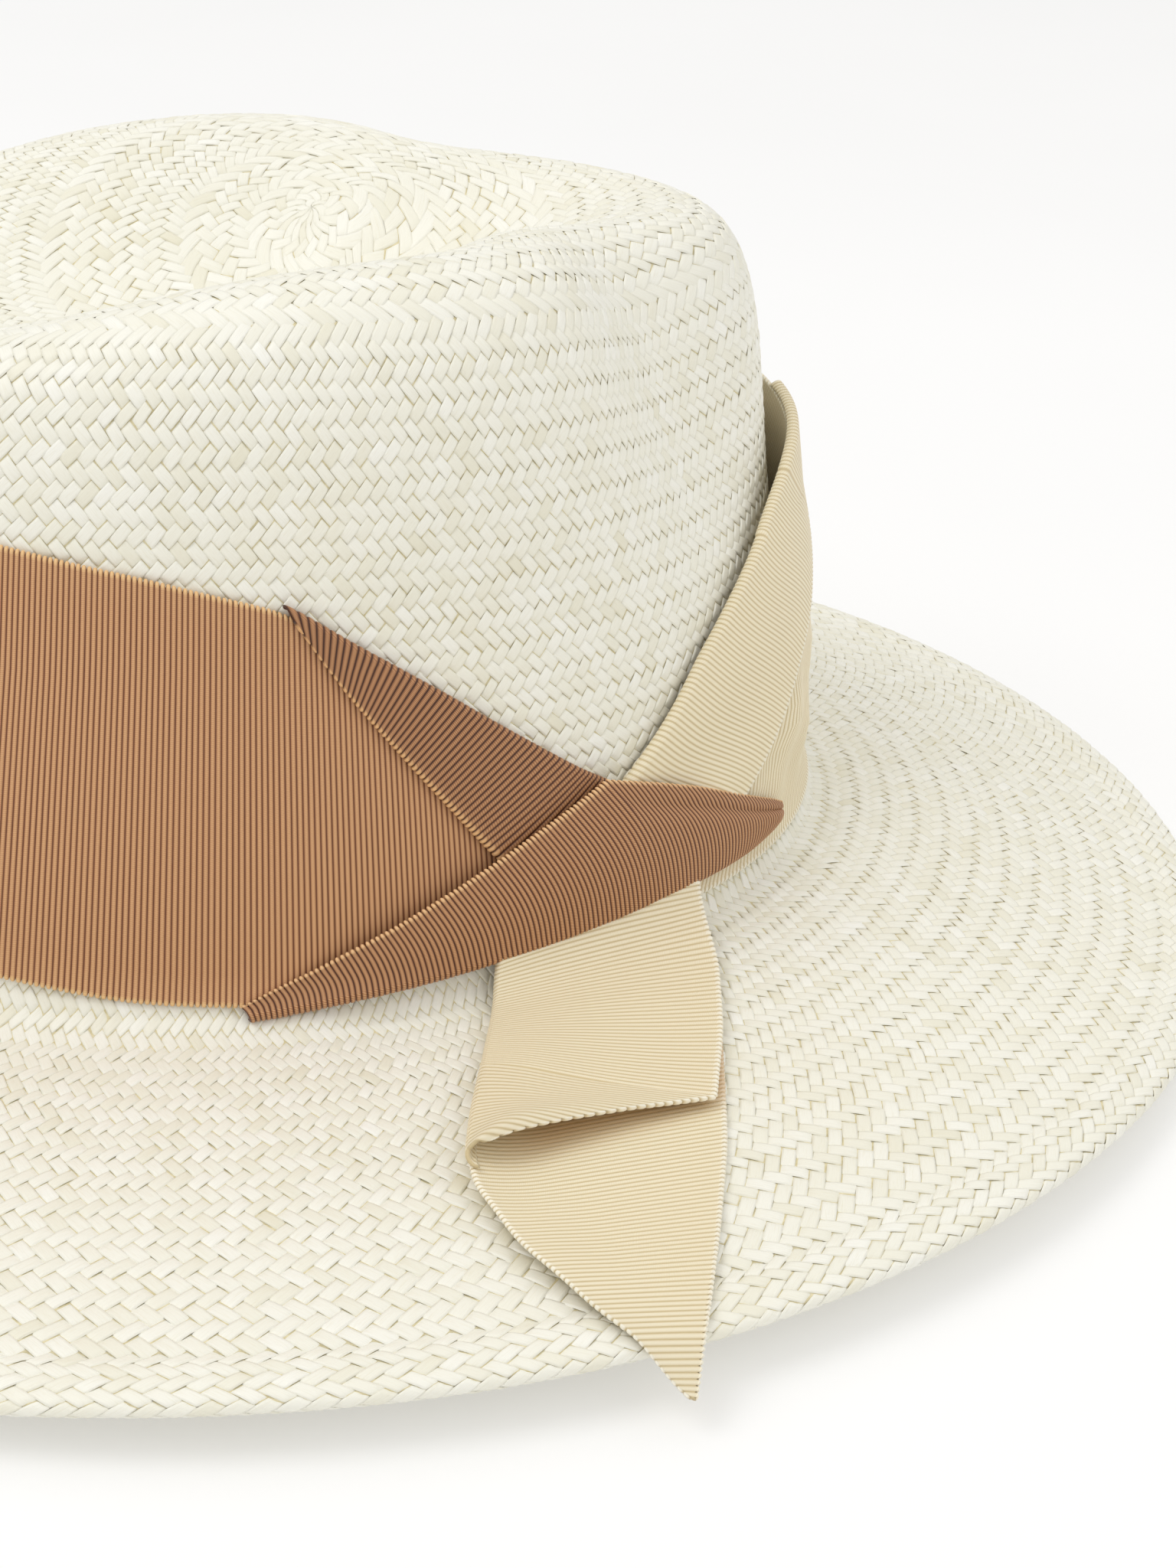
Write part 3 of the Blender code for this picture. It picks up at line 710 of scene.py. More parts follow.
def tan_knot(material):
    """The piece that crosses over everything, its top edge soft and its lower edge rolled under."""
    upper = [(-108.3, 0.0190), (-97, 0.0272), (-86, 0.0340), (-75.5, 0.0403), (-65.5, 0.0457),
             (-65.4, 0.0457),
             (-58.5, 0.0424), (-52, 0.0386), (-44.5, 0.0328), (-39, 0.0284), (-36.6, 0.0262)]
    lower = [(-107.8, 0.0182), (-95.5, 0.0200), (-82.8, 0.0218), (-71, 0.0232), (-59.4, 0.0240),
             (-59.3, 0.0240),
             (-54, 0.0238), (-49.0, 0.0234), (-44.0, 0.0231), (-39.5, 0.0232), (-37.2, 0.0236)]

    def offset(degrees, height, u, v):
        puffed = smooth_step(0.06, 0.42, u) * smooth_step(1.04, 0.88, u)
        bulge = 0.0012 * np.sin(np.pi * np.clip(v, 0, 1)) * puffed
        crease = 0.0007 * np.exp(-((v - 0.80 + 0.35 * (u - 0.45)) / 0.10) ** 2) * smooth_step(0.42, 0.62, u)
        return crossing_offset(degrees, height) + HALF + bulge - crease

    return ribbon("tan_ribbon_crossing", ruled(upper, lower, offset, bow=1.5), material, across=26,
                  low_roll=0.0010, scallop=(0, 1.3), bend=np.pi * 0.8)


def cream_lower_height(degrees):
    return np.interp(degrees, [-75, -64, -52, -40, -22, 0, 20, 45, 70, 98],
                     [0.0205, 0.0203, 0.0195, 0.0190, 0.0185, 0.0185, 0.0190, 0.0200, 0.0210, 0.0215])


def cream_upper_height(degrees):
    return np.interp(degrees, [-63, -47, -32, -18, 0, 20, 45, 70, 98],
                     [0.0425, 0.0575, 0.0681, 0.0780, 0.0842, 0.0870, 0.0880, 0.0880, 0.0875])


CREAM_WOVEN_EDGE = [(-49, 0.0285), (-42, 0.0348), (-34.5, 0.0412), (-28.0, 0.0470), (-21.5, 0.0528),
                    (-16, 0.0592), (-11, 0.0660), (-6, 0.0735), (-2, 0.0822)]


def cream_band(material):
    """Ribs lean over near the knot and straighten towards the far side."""
    feet = [-76, -64, -50, -31, -8, 16, 40, 70, 98]
    heads = [-61.5, -41, -18, 0, 16, 31, 47, 72, 98]
    upper = [(head, float(cream_upper_height(head))) for head in heads]
    lower = [(foot, float(cream_lower_height(foot))) for foot in feet]

    def offset(degrees, height, u, v):
        woven_edge = np.interp(degrees, [spot[0] for spot in CREAM_WOVEN_EDGE],
                               [spot[1] for spot in CREAM_WOVEN_EDGE])
        near = np.exp(-((degrees + 34) / 17) ** 2) * smooth_step(0.0, 0.008, woven_edge - height)
        folds = (0.0007 * np.sin((degrees + 900 * height) * 0.33)
                 + 0.0004 * np.sin((degrees - 500 * height) * 0.61))
        return front_stand_off(degrees, height) + HALF + near * (0.0012 + folds) * smooth_step(0, 0.2, v)

    return ribbon("cream_ribbon_band", ruled(upper, lower, offset), material, across=22,
                  high=CREAM_RIB_HEIGHT)


def cream_flap(material):
    """The front band's upper edge turned down; its ribs run on from the fold to the woven edge."""
    upper = [(-63, 0.0418), (-55, 0.0498), (-47.2, 0.0578), (-39.5, 0.0634), (-32.2, 0.0685), (-24.8, 0.0738),
             (-17.7, 0.0786), (-10, 0.0820), (-3, 0.0838)]

    def offset(degrees, height, u, v):
        soft = 0.0006 * np.sin(2.2 * np.pi * v + 9 * u) * smooth_step(0.5, 0.1, u)
        return front_stand_off(degrees, height) + HALF + FOLD_GAP + 0.0004 + 0.0006 * (1 - v) + soft

    return ribbon("cream_ribbon_upper_fold", ruled(upper, CREAM_WOVEN_EDGE, offset, wave=0.6), material,
                  across=18,
                  high_roll=0.0008, scallop=(1, 0), high=CREAM_RIB_HEIGHT)


# ---- The tail ----------------------------------------------------------------------------------
def brim_table():
    """Height of the brim's upper face over a square of plan positions beside the knot."""
    x, y = np.meshgrid(TAIL_GRID[0], TAIL_GRID[1], indexing="ij")
    return on_brim(np.stack([x, y], -1), 0.0)[..., 2]


TAIL_GRID = (np.linspace(-0.02, 0.07, 91), np.linspace(-0.185, -0.070, 116))
TAIL_HEIGHT = brim_table()


def over_brim(plan, offset):
    """Point above the brim at a plan position, read from the table."""
    column = (plan[..., 0] - TAIL_GRID[0][0]) / (TAIL_GRID[0][1] - TAIL_GRID[0][0])
    row = (plan[..., 1] - TAIL_GRID[1][0]) / (TAIL_GRID[1][1] - TAIL_GRID[1][0])
    left = np.clip(column.astype(int), 0, TAIL_HEIGHT.shape[0] - 2)
    low = np.clip(row.astype(int), 0, TAIL_HEIGHT.shape[1] - 2)
    across = column - left
    up = row - low
    near = TAIL_HEIGHT[left, low] * (1 - up) + TAIL_HEIGHT[left, low + 1] * up
    far = TAIL_HEIGHT[left + 1, low] * (1 - up) + TAIL_HEIGHT[left + 1, low + 1] * up
    height = near * (1 - across) + far * across + offset
    return np.concatenate([plan, height[..., None]], -1)


def tail_place(left, right, lift):
    def place(u, v):
        plan = smooth_along(left, u) * (1 - v[..., None]) + smooth_along(right, u) * v[..., None]
        return over_brim(plan, lift(u, v, plan))
    return place


def from_fold(plan):
    """Distances along the tail's fold line and away from it, and how far the fold stands open there."""
    ahead = (plan - FOLD_START) @ FOLD_RUN
    aside = (plan - FOLD_START) @ np.array([-FOLD_RUN[1], FOLD_RUN[0]])
    return ahead, aside, smooth_step(0.15, 1.0, ahead / FOLD_LENGTH)


def out_of_knot(u, length):
    """The tail comes down from behind the crossing before it lies on the brim."""
    return 0.0055 * np.clip(1 - u * length / 0.009, 0, 1) ** 2


def tail_back(material):
    """Lower layer: a slanting cut runs down its left side to the tip."""
    left = [(0.0154, -0.0841), (0.0034, -0.1070), (-0.0090, -0.1304), (-0.0072, -0.1465), (-0.0022, -0.1600),
            (0.0058, -0.1738)]
    right = [(0.0541, -0.0726), (0.0434, -0.1050), (0.0312, -0.1320), (0.0214, -0.1495), (0.0134, -0.1630),
             (0.0064, -0.1742)]

    def lift(u, v, plan):
        hang = 0.0014 * np.sin(np.pi * smooth_step(0.45, 1.0, u)) * (1 - 0.6 * v)
        rise = smooth_step(0.40, 0.52, u) * smooth_step(0.80, 0.56, u) * smooth_step(0.45, 0.0, v)
        droop = 0.0030 * smooth_step(0.86, 1.0, u)
        _, aside, is_open = from_fold(plan)
        curl = 0.0024 * is_open * np.clip(1 - aside / 0.011, 0, 1) ** 2 * smooth_step(0.80, 0.50, u)
        return ON_BRIM + HALF + hang + 0.0010 * rise - droop + curl + out_of_knot(u, 0.095)

    return ribbon("cream_tail_lower_layer", tail_place(left, right, lift), material, across=26,
                  scallop=(0.3, 1.2),
                  pitch=CREAM_PITCH, high=CREAM_RIB_HEIGHT)


OPEN_LOOP = 0.0050              # the loop's height at the cut end
FOLD_START = np.array([0.0154, -0.0841])
FOLD_LENGTH = 0.0504
FOLD_RUN = unit(np.array([-0.0235, -0.0446]))


def tail_front(material):
    """Upper layer: folded over from the left in a soft loop, its slanting cut end lifted."""
    left = [(0.0154, -0.0841), (0.0115, -0.0914), (0.0071, -0.0998), (0.0025, -0.1086), (0.0024, -0.1088),
            (-0.0025, -0.1180), (-0.0053, -0.1234), (-0.0081, -0.1287)]
    right = [(0.0541, -0.0726), (0.0500, -0.0905), (0.0424, -0.1075), (0.0328, -0.1247), (0.0326, -0.1247),
             (0.0185, -0.1252), (0.0070, -0.1266), (-0.0055, -0.1288)]

    def lift(u, v, plan):
        _, aside, open_end = from_fold(plan)
        left_side = 1 - 0.75 * np.clip(aside / 0.041, 0, 1) - 0.36 * np.clip(1 - aside / 0.008, 0, 1) ** 2
        crease = (0.0008 * np.sin(2 * np.pi * (u * 1.2 + 0.25 * v))
                  * smooth_step(0, 0.3, u) * np.sin(np.pi * v))
        stand = ON_BRIM + HALF + FOLD_GAP + 0.0004 + out_of_knot(u, 0.047)
        return stand + OPEN_LOOP * open_end * left_side + crease

    def loop(u):
        return (FOLD_GAP + 0.0004 + (0.64 * OPEN_LOOP - 0.0024) * smooth_step(0.15, 1.0, u)) / 2

    return ribbon("cream_tail_upper_layer", tail_place(left, right, lift), material, across=30, low_roll=loop,
                  scallop=(0, 1.0), pitch=CREAM_PITCH, high=CREAM_RIB_HEIGHT, bend=np.pi * 0.98, slide=0.0006,
                  reach=0.8)


# ---- Inside and small trim ---------------------------------------------------------------------
SWEAT_LOW = 0.0215
SWEAT_HIGH = 0.0530
SWEAT_OFFSET = -(STRAW + GAP + 0.0002)
SWEAT_THICKNESS = 0.0010
INSIDE = SWEAT_OFFSET - SWEAT_THICKNESS - 0.0006
ON_RIBBON = ON_STRAW + RIBBON + GAP + 0.0001
ON_JOIN = ON_RIBBON + RIBBON + GAP + 0.0002


def sweatband(material):
    """Leather band: rolled upper edge, soft swells round the head, plain lower edge."""
    degrees = np.arange(0, 360, 1.0)
    low = np.linspace(0, 1, 13)
    thick = SWEAT_THICKNESS
    outer, inner = [], []
    for share in low:
        height = SWEAT_HIGH - share * (SWEAT_HIGH - SWEAT_LOW)
        swell = 0.0003 * np.sin(degrees * DEGREE * 9 + 5 * share) * np.sin(np.pi * share)
        edge = 0.45 * (share == 0) + 0.35 * (share == 1)
        outer.append(on_crown(degrees, height + 0 * degrees, SWEAT_OFFSET - thick * edge / 2 + 0 * degrees))
        inner.append(on_crown(degrees, height + 0 * degrees, SWEAT_OFFSET - thick * (1 - edge / 2) - swell))
    section = np.array(outer + inner[::-1])
    rows, columns = section.shape[:2]
    closed = np.concatenate([section, section[:1]])
    quads = grid_quads(rows + 1, columns, closed=True) % (rows * columns)
    item = new_object("leather_sweatband", section.reshape(-1, 3), quads, material)
    assert len(closed) == rows + 1
    return item


def stitch(middle, ahead, up, out, length, width, lift):
    """One short thread: an eight by six capsule."""
    turn = np.arange(6) * np.pi / 3
    rings = []
    for share in np.linspace(-1, 1, 7):
        radius = width * np.sqrt(max(0.02, 1 - abs(share) ** 3))
        centre = middle + ahead * share * length / 2 + out * lift * (1 - share ** 2)
        rings.append(centre + radius * (np.cos(turn)[:, None] * up + np.sin(turn)[:, None] * out))
    return np.array(rings)


def stitches(name, frames, length, width, lift, material):
    """A row of stitches as one piece: frames are (middle, direction, sideways, outwards)."""
    points, quads = [], []
    for number, (middle, ahead, up, out) in enumerate(frames):
        rings = stitch(middle, ahead, up, out, length, width, lift)
        first = number * 42
        points.append(rings.reshape(-1, 3))
        quads.append(grid_quads(7, 6, first, closed=True))
        for start in (first, first + 36):
            quads.append(start + np.array([[0, 1, 2, 3], [3, 4, 5, 0]]))
    item = new_object(name, np.concatenate(points), np.concatenate(quads), material)
    clean(item)
    return item


def clean(item):
    """Faces turned outwards."""
    import bmesh
    solid = bmesh.new()
    solid.from_mesh(item.data)
    bmesh.ops.recalc_face_normals(solid, faces=solid.faces)
    solid.to_mesh(item.data)
    solid.free()
    item.data.shade_smooth()


def wall_frame(degrees, height, offset, along_wall):
    """Middle and three directions at a place on the wall; along_wall is the thread's slant in radians."""
    spot = np.array([float(degrees)])
    tall = np.array([float(height)])
    lift = np.array([float(offset)])
    here = on_crown(spot, tall, lift)[0]
    side = unit(on_crown(spot + 0.2, tall, lift)[0] - here)
    up = unit(on_crown(spot, tall + 0.0004, lift)[0] - here)
    out = unit(np.cross(side, up))
    ahead = unit(np.cos(along_wall) * side + np.sin(along_wall) * up)
    return here, ahead, unit(np.cross(out, ahead)), out


def sweatband_stitches(material):
    frames = [wall_frame(degrees, SWEAT_LOW + 0.003, INSIDE + 0.0003, 0.0)
              for degrees in np.arange(0, 360, 2.0)]
    frames = [(middle, ahead, up, -out) for middle, ahead, up, out in frames]
    return stitches("sweatband_stitches", frames, 0.0024, 0.00026, 0.0002, material)


def join_stitches(name, degrees, material):
    heights = np.arange(0.0275, 0.0820, 0.0030)
    frames = [wall_frame(degrees, height, ON_JOIN + 0.0001, np.pi / 2) for height in heights]
    return stitches(name, frames, 0.0021, 0.00024, 0.0002, material)


TACKS = ((-140, 0.0855), (-172, 0.0895), (-205, 0.0885), (-238, 0.0855), (-150, 0.0275), (-205, 0.0290),
         (60, 0.0855), (60, 0.0230))


def tack_stitch(number, degrees, height, material):
    frames = [wall_frame(degrees, height + step, ON_RIBBON, slant)
              for step, slant in ((0.0004, 0.5), (-0.0004, 1.1))]
    return stitches(f"tack_stitch_{number}", frames, 0.0018, 0.00020, 0.0002, material)


def inside_strip(name, path, width, material, thick=0.00045, across=5, ribs=True):
    """Narrow ribbon inside the hat along a path of (degrees, height, offset); width runs up the wall."""
    path = np.array(path)
    v = np.linspace(-0.5, 0.5, across)
    columns = []
    for share in v:
        columns.append(on_crown(path[:, 0], path[:, 1] + share * width * path[:, 3], path[:, 2]))
    middle = np.array(columns)
    along_u = np.gradient(middle, axis=1)
    along_v = np.gradient(middle, axis=0)
    normal = unit(np.cross(along_u, along_v))
    ridge = 0.00007 * np.sin(np.arange(middle.shape[1]) * np.pi / 2) if ribs else 0
    half = (thick / 2 + ridge) * np.ones(middle.shape[1])
    outer = middle + normal * half[None, :, None]
    inner = middle - normal * half[None, :, None]
    item = new_object(name, np.concatenate([outer.reshape(-1, 3), inner.reshape(-1, 3)]),
                      sheet_quads(across, middle.shape[1]), material)
    clean(item)
    return item


def bow_loop(side, middle, count=72):
    """Path of one loop of the bow: out along the band and back over itself."""
    turn = np.linspace(0, 2 * np.pi, count)
    reach = 6.4 * np.sin(turn / 2) ** 0.8
    depth = INSIDE - 0.0006 - 0.0008 * np.sin(turn)
    pinch = 0.45 + 0.55 * np.sin(turn / 2) ** 0.7
    lean = 0.0006 * np.sin(turn)
    return np.stack([180 + side * (0.8 + reach), middle + lean, depth, pinch], -1)


def bow(material):
    """Small flat ribbon bow: two loops and the wrap between them."""
    middle = SWEAT_LOW + 0.011
    loops = [inside_strip(f"bow_{word}_loop", bow_loop(side, middle), 0.0072, material)
             for word, side in (("left", -1), ("right", 1))]
    turn = np.linspace(-1.5, 1.5, 25)
    wrap = np.stack([180 + turn, middle + 0 * turn, INSIDE - 0.0012 - 0.0009 * np.cos(turn),
                     0.62 + 0 * turn], -1)
    return loops + [inside_strip("bow_wrap", wrap, 0.0072, material)]


def blank_tab(material):
    degrees = np.linspace(193, 201, 41)
    lift = INSIDE - 0.0003 - 0.0004 * np.abs((degrees - 197) / 4) ** 2
    path = np.stack([degrees, SWEAT_LOW + 0.014 + 0 * degrees, lift, 1 + 0 * degrees], -1)
    return inside_strip("blank_size_tab", path, 0.012, material, thick=0.0003, across=9, ribs=False)


# ---- Materials ---------------------------------------------------------------------------------
def linear(red, green, blue):
    """Screen colour from 0 to 255 as the renderer's linear colour."""
    screen = np.array([red, green, blue]) / 255
    return (*np.where(screen > 0.04045, ((screen + 0.055) / 1.055) ** 2.4, screen / 12.92).tolist(), 1.0)


class Nodes:
    """Short names for building a material's node tree."""

    def __init__(self, name, **sockets):
        self.material = bpy.data.materials.new(name)
        self.material.use_nodes = True
        self.tree = self.material.node_tree
        self.shader = self.tree.nodes["Principled BSDF"]
        for socket, value in sockets.items():
            self.shader.inputs[socket.replace("_", " ")].default_value = value

    def node(self, kind, inputs=None, **settings):
        made = self.tree.nodes.new("ShaderNode" + kind)
        for key, value in settings.items():
            setattr(made, key, value)
        for key, value in (inputs or {}).items():
            if isinstance(value, bpy.types.NodeSocket):
                self.tree.links.new(value, made.inputs[key])
            else:
                made.inputs[key].default_value = value
        return made

    def attribute(self, name, output="Fac"):
        return self.node("Attribute", attribute_name=name).outputs[output]

    def math(self, operation, first, second=0.0, clamp=False):
        return self.node("Math", {0: first, 1: second}, operation=operation, use_clamp=clamp).outputs[0]

    def scaled(self, vector, scale):
        return self.node("Mapping", {"Vector": vector, "Scale": scale}).outputs[0]

    def noise(self, vector, scale, detail=3.0, rough=0.55):
        inputs = {"Vector": vector, "Scale": scale, "Detail": detail, "Roughness": rough}
        return self.node("TexNoise", inputs).outputs[0]

    def ramp(self, value, stops):
        made = self.node("ValToRGB", {0: value})
        ramp = made.color_ramp
        while len(ramp.elements) < len(stops):
            ramp.elements.new(1.0)
        for element, (position, colour) in zip(ramp.elements, stops):
            element.position = position
            element.color = colour
        return made.outputs[0]

    def mix(self, share, first, second, blend="MIX"):
        made = self.node("Mix", {0: share}, data_type="RGBA", blend_type=blend)
        for index, value in ((6, first), (7, second)):
            if isinstance(value, bpy.types.NodeSocket):
                self.tree.links.new(value, made.inputs[index])
            else:
                made.inputs[index].default_value = value
        return made.outputs[2]

    def bump(self, height, strength, distance, normal=None):
        made = self.node("Bump", {"Height": height, "Strength": strength, "Distance": distance})
        if normal is not None:
            self.tree.links.new(normal, made.inputs["Normal"])
        return made.outputs[0]

    def set(self, socket, value):
        self.tree.links.new(value, self.shader.inputs[socket])


def straw_material(name):
    """Bleached straw: ivory strands of slightly different tones, with fine grain along each."""
    made = Nodes(name, Roughness=0.42, IOR=1.5)
    made.shader.inputs["Specular IOR Level"].default_value = 0.5
    tone = made.math("MULTIPLY_ADD", made.attribute("tone"), 0.16)
    made.tree.nodes[-1].inputs[2].default_value = 0.5
    ivory = made.ramp(tone, [(0.0, linear(235, 231, 211)), (0.45, linear(243, 241, 228)),
                             (1.0, linear(249, 248, 240))])
    strand = made.attribute("strand", "Vector")
    grain = made.noise(made.scaled(strand, (0.9, 7.0, 1.0)), 1.0, 4.0, 0.6)
    streak = made.noise(made.scaled(strand, (0.5, 2.2, 1.0)), 1.0, 2.0)
    grained = made.mix(made.math("MULTIPLY", made.math("SUBTRACT", grain, 0.5, clamp=True), 1.4, clamp=True),
                       ivory,
                       linear(226, 219, 192))
    blotch = made.noise(made.node("TexCoord").outputs["Object"], 22.0, 3.0)
    aged = made.mix(made.math("MULTIPLY", made.math("SUBTRACT", blotch, 0.52, clamp=True), 0.9, clamp=True),
                    grained,
                    linear(240, 234, 212))
    made.set("Base Color", aged)
    rough = made.math("MULTIPLY_ADD", streak, 0.30)
    made.tree.nodes[-1].inputs[2].default_value = 0.26
    made.set("Roughness", rough)
    made.set("Normal", made.bump(grain, 0.35, 0.00012))
    return made.material


def gap_shade_backing_material():
    made = Nodes("straw_under_layer_painted_shade", Roughness=0.75)
    noise = made.noise(made.node("TexCoord").outputs["Object"], 900.0, 2.0)
    # Darker than the strands: painted shade that shows in the gaps between floats.
    made.set("Base Color", made.ramp(noise, [(0.3, linear(204, 191, 148)), (0.7, linear(230, 220, 184))]))
    made.set("Normal", made.bump(noise, 0.4, 0.0001))
    return made.material


def grosgrain_material(name, top, side, painted_groove_shade, painted_highlight, sheen):
    """Ribbed ribbon: painted shade between the ribs and lighter painted sheen on their tops, fine warp
    threads over each rib, painted highlights on the ribs' tops and woven edges, and a warmer painted shade
    where a vertex value asks for it.
    """
    made = Nodes(name, Roughness=0.5)
    made.shader.inputs["Sheen Weight"].default_value = sheen
    made.shader.inputs["Sheen Roughness"].default_value = 0.35
    made.shader.inputs["Specular IOR Level"].default_value = 0.45
    rib = made.attribute("rib")
    weft = made.attribute("weft", "Vector")
    split = made.node("SeparateXYZ", {0: weft})
    slant = made.math("ADD", made.math("MULTIPLY", split.outputs[1], 3.3),
                      made.math("MULTIPLY", split.outputs[0], 1.0))
    thread = made.math("SINE", made.math("MULTIPLY", slant, 2 * np.pi))
    thread = made.math("MULTIPLY_ADD", thread, 0.5)
    made.tree.nodes[-1].inputs[2].default_value = 0.5
    # By rib height: painted shade in the grooves between ribs, painted sheen lighter on the rib tops.
    body = made.ramp(rib, [(0.0, painted_groove_shade), (0.45, painted_groove_shade), (0.80, side), (1.0, top)])
    tint = made.noise(made.scaled(weft, (0.11, 0.045, 1.0)), 1.0, 3.0)
    body = made.mix(made.math("MULTIPLY", tint, 0.28), body, side)
    # Painted highlight along the warp threads on the rib tops.
    painted_rib_highlight = made.math("MULTIPLY", made.math("POWER", rib, 3.0), thread)
    shown = made.mix(made.math("MULTIPLY", painted_rib_highlight, 0.55), body, painted_highlight)
    # Painted highlight on the rib tops of the woven edges.
    edge_highlight = made.math("MULTIPLY", split.outputs[2], made.math("POWER", rib, 3.0))
    shown = made.mix(made.math("MULTIPLY", edge_highlight, 1.2, clamp=True), shown, painted_highlight)
    # Painted shade: orange where the lower tail layer lies under the open loop.
    made.set("Base Color", made.mix(made.attribute("painted_loop_shade"), shown, linear(208, 160, 100)))
    speck = made.noise(made.scaled(weft, (2.3, 5.0, 1.0)), 1.0, 2.0)
    rough = made.math("MULTIPLY_ADD", speck, 0.25)
    made.tree.nodes[-1].inputs[2].default_value = 0.36
    made.set("Roughness", rough)
    made.set("Normal", made.bump(thread, 0.35, 0.00006))
    return made.material


def grain_material(name, colours, scale, rough, strength=0.4):
    """Mottled surface with fine grain, for leather, thread and card."""
    made = Nodes(name, Roughness=rough)
    place = made.node("TexCoord").outputs["Object"]
    cell = made.node("TexVoronoi", {"Vector": place, "Scale": scale}, feature="SMOOTH_F1").outputs["Distance"]
    noise = made.noise(place, scale * 0.12, 4.0)
    made.set("Base Color", made.ramp(noise, [(0.3, colours[0]), (0.7, colours[1])]))
    spread = made.math("MULTIPLY_ADD", noise, 0.25)
    made.tree.nodes[-1].inputs[2].default_value = rough - 0.12
    made.set("Roughness", spread)
    made.set("Normal", made.bump(cell, strength, 0.0002))
    return made.material


# ---- Stage, light and camera -------------------------------------------------------------------
CAMERA_AT = (-0.12952, -0.41487, 0.23143)
CAMERA_YAW = -22.90
CAMERA_ELEVATION = 26.22
CAMERA_ROLL = 2.27
LENS = 61.19
SENSOR = 36.0
SHIFT_X = 0.0625


def make_camera():
    yaw, elevation, roll = (value * DEGREE for value in (CAMERA_YAW, CAMERA_ELEVATION, CAMERA_ROLL))
    back = np.array([np.sin(yaw) * np.cos(elevation), -np.cos(yaw) * np.cos(elevation), np.sin(elevation)])
    right = np.array([np.cos(yaw), np.sin(yaw), 0])
    up = np.cross(back, right)
    tilted = np.cos(roll) * right + np.sin(roll) * up
    above = -np.sin(roll) * right + np.cos(roll) * up
    data = bpy.data.cameras.new("camera")
    data.lens = LENS
    data.sensor_width = SENSOR
    data.sensor_fit = "VERTICAL"
    data.sensor_height = SENSOR
    data.shift_x = SHIFT_X
    data.clip_start = 0.01
    camera = bpy.data.objects.new("camera", data)
    bpy.context.scene.collection.objects.link(camera)
    matrix = Matrix.Identity(4)
    for column, axis in enumerate((tilted, above, back, np.array(CAMERA_AT))):
        for row in range(3):
            matrix[row][column] = axis[row]
    camera.matrix_world = matrix
    bpy.context.scene.camera = camera


def area_light(name, place, target, size, power, colour):
    data = bpy.data.lights.new(name, "AREA")
    data.shape = "RECTANGLE"
    data.size, data.size_y = size
    data.energy = power
    data.color = colour
    light = bpy.data.objects.new(name, data)
    bpy.context.scene.collection.objects.link(light)
    back = unit(np.array(place, float) - np.array(target, float))
    side = unit(np.cross([0, 0, 1.0], back))
    above = np.cross(back, side)
    matrix = Matrix.Identity(4)
    for column, axis in enumerate((side, above, back, place)):
        for row in range(3):
            matrix[row][column] = axis[row]
    light.matrix_world = matrix


def make_stage():
    mesh = bpy.data.meshes.new("floor")
    half = 6.0
    mesh.from_pydata([(-half, -half, 0), (half, -half, 0), (half, half, 0), (-half, half, 0)], [],
                     [(0, 1, 2, 3)])
    made = Nodes("floor_paper", Roughness=0.9)
    noise = made.noise(made.node("TexCoord").outputs["Object"], 3.0, 3.0)
    made.set("Base Color", made.ramp(noise, [(0.3, (0.66, 0.66, 0.66, 1)), (0.7, (0.68, 0.68, 0.68, 1))]))
    made.shader.inputs["Emission Color"].default_value = (1.0, 0.995, 0.985, 1)
    made.shader.inputs["Emission Strength"].default_value = 0.30
    mesh.materials.append(made.material)
    floor = bpy.data.objects.new("floor", mesh)
    floor.location.z = -0.0003
    bpy.context.scene.collection.objects.link(floor)
    world = bpy.data.worlds.new("studio")
    world.use_nodes = True
    tree = world.node_tree
    sky = tree.nodes["Background"]
    place = tree.nodes.new("ShaderNodeTexCoord")
    split = tree.nodes.new("ShaderNodeSeparateXYZ")
    ramp = tree.nodes.new("ShaderNodeValToRGB")
    tree.links.new(place.outputs["Generated"], split.inputs[0])
    tree.links.new(split.outputs["Z"], ramp.inputs[0])
    tree.links.new(ramp.outputs[0], sky.inputs["Color"])
    ramp.color_ramp.elements[0].color = (0.48, 0.478, 0.473, 1)
    ramp.color_ramp.elements[1].position = 0.6
    ramp.color_ramp.elements[1].color = (1.0, 0.995, 0.985, 1)
    sky.inputs["Strength"].default_value = 0.90
    bpy.context.scene.world = world
    bpy.context.scene.view_settings.view_transform = "Standard"
    area_light("key", (-0.70, -0.05, 1.15), (0, 0, 0.05), (0.7, 0.7), 4.2, (1.0, 0.99, 0.97))
    area_light("front_fill", (0.9, -0.9, 0.9), (0, 0, 0.05), (1.2, 0.9), 1.8, (1.0, 0.99, 0.97))


def stand_for(pieces, node, body="hat"):
    """The pieces take the place of a CAD node, on its body."""
    for piece in pieces:
        if body:
            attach(piece, body)
        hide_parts(node)


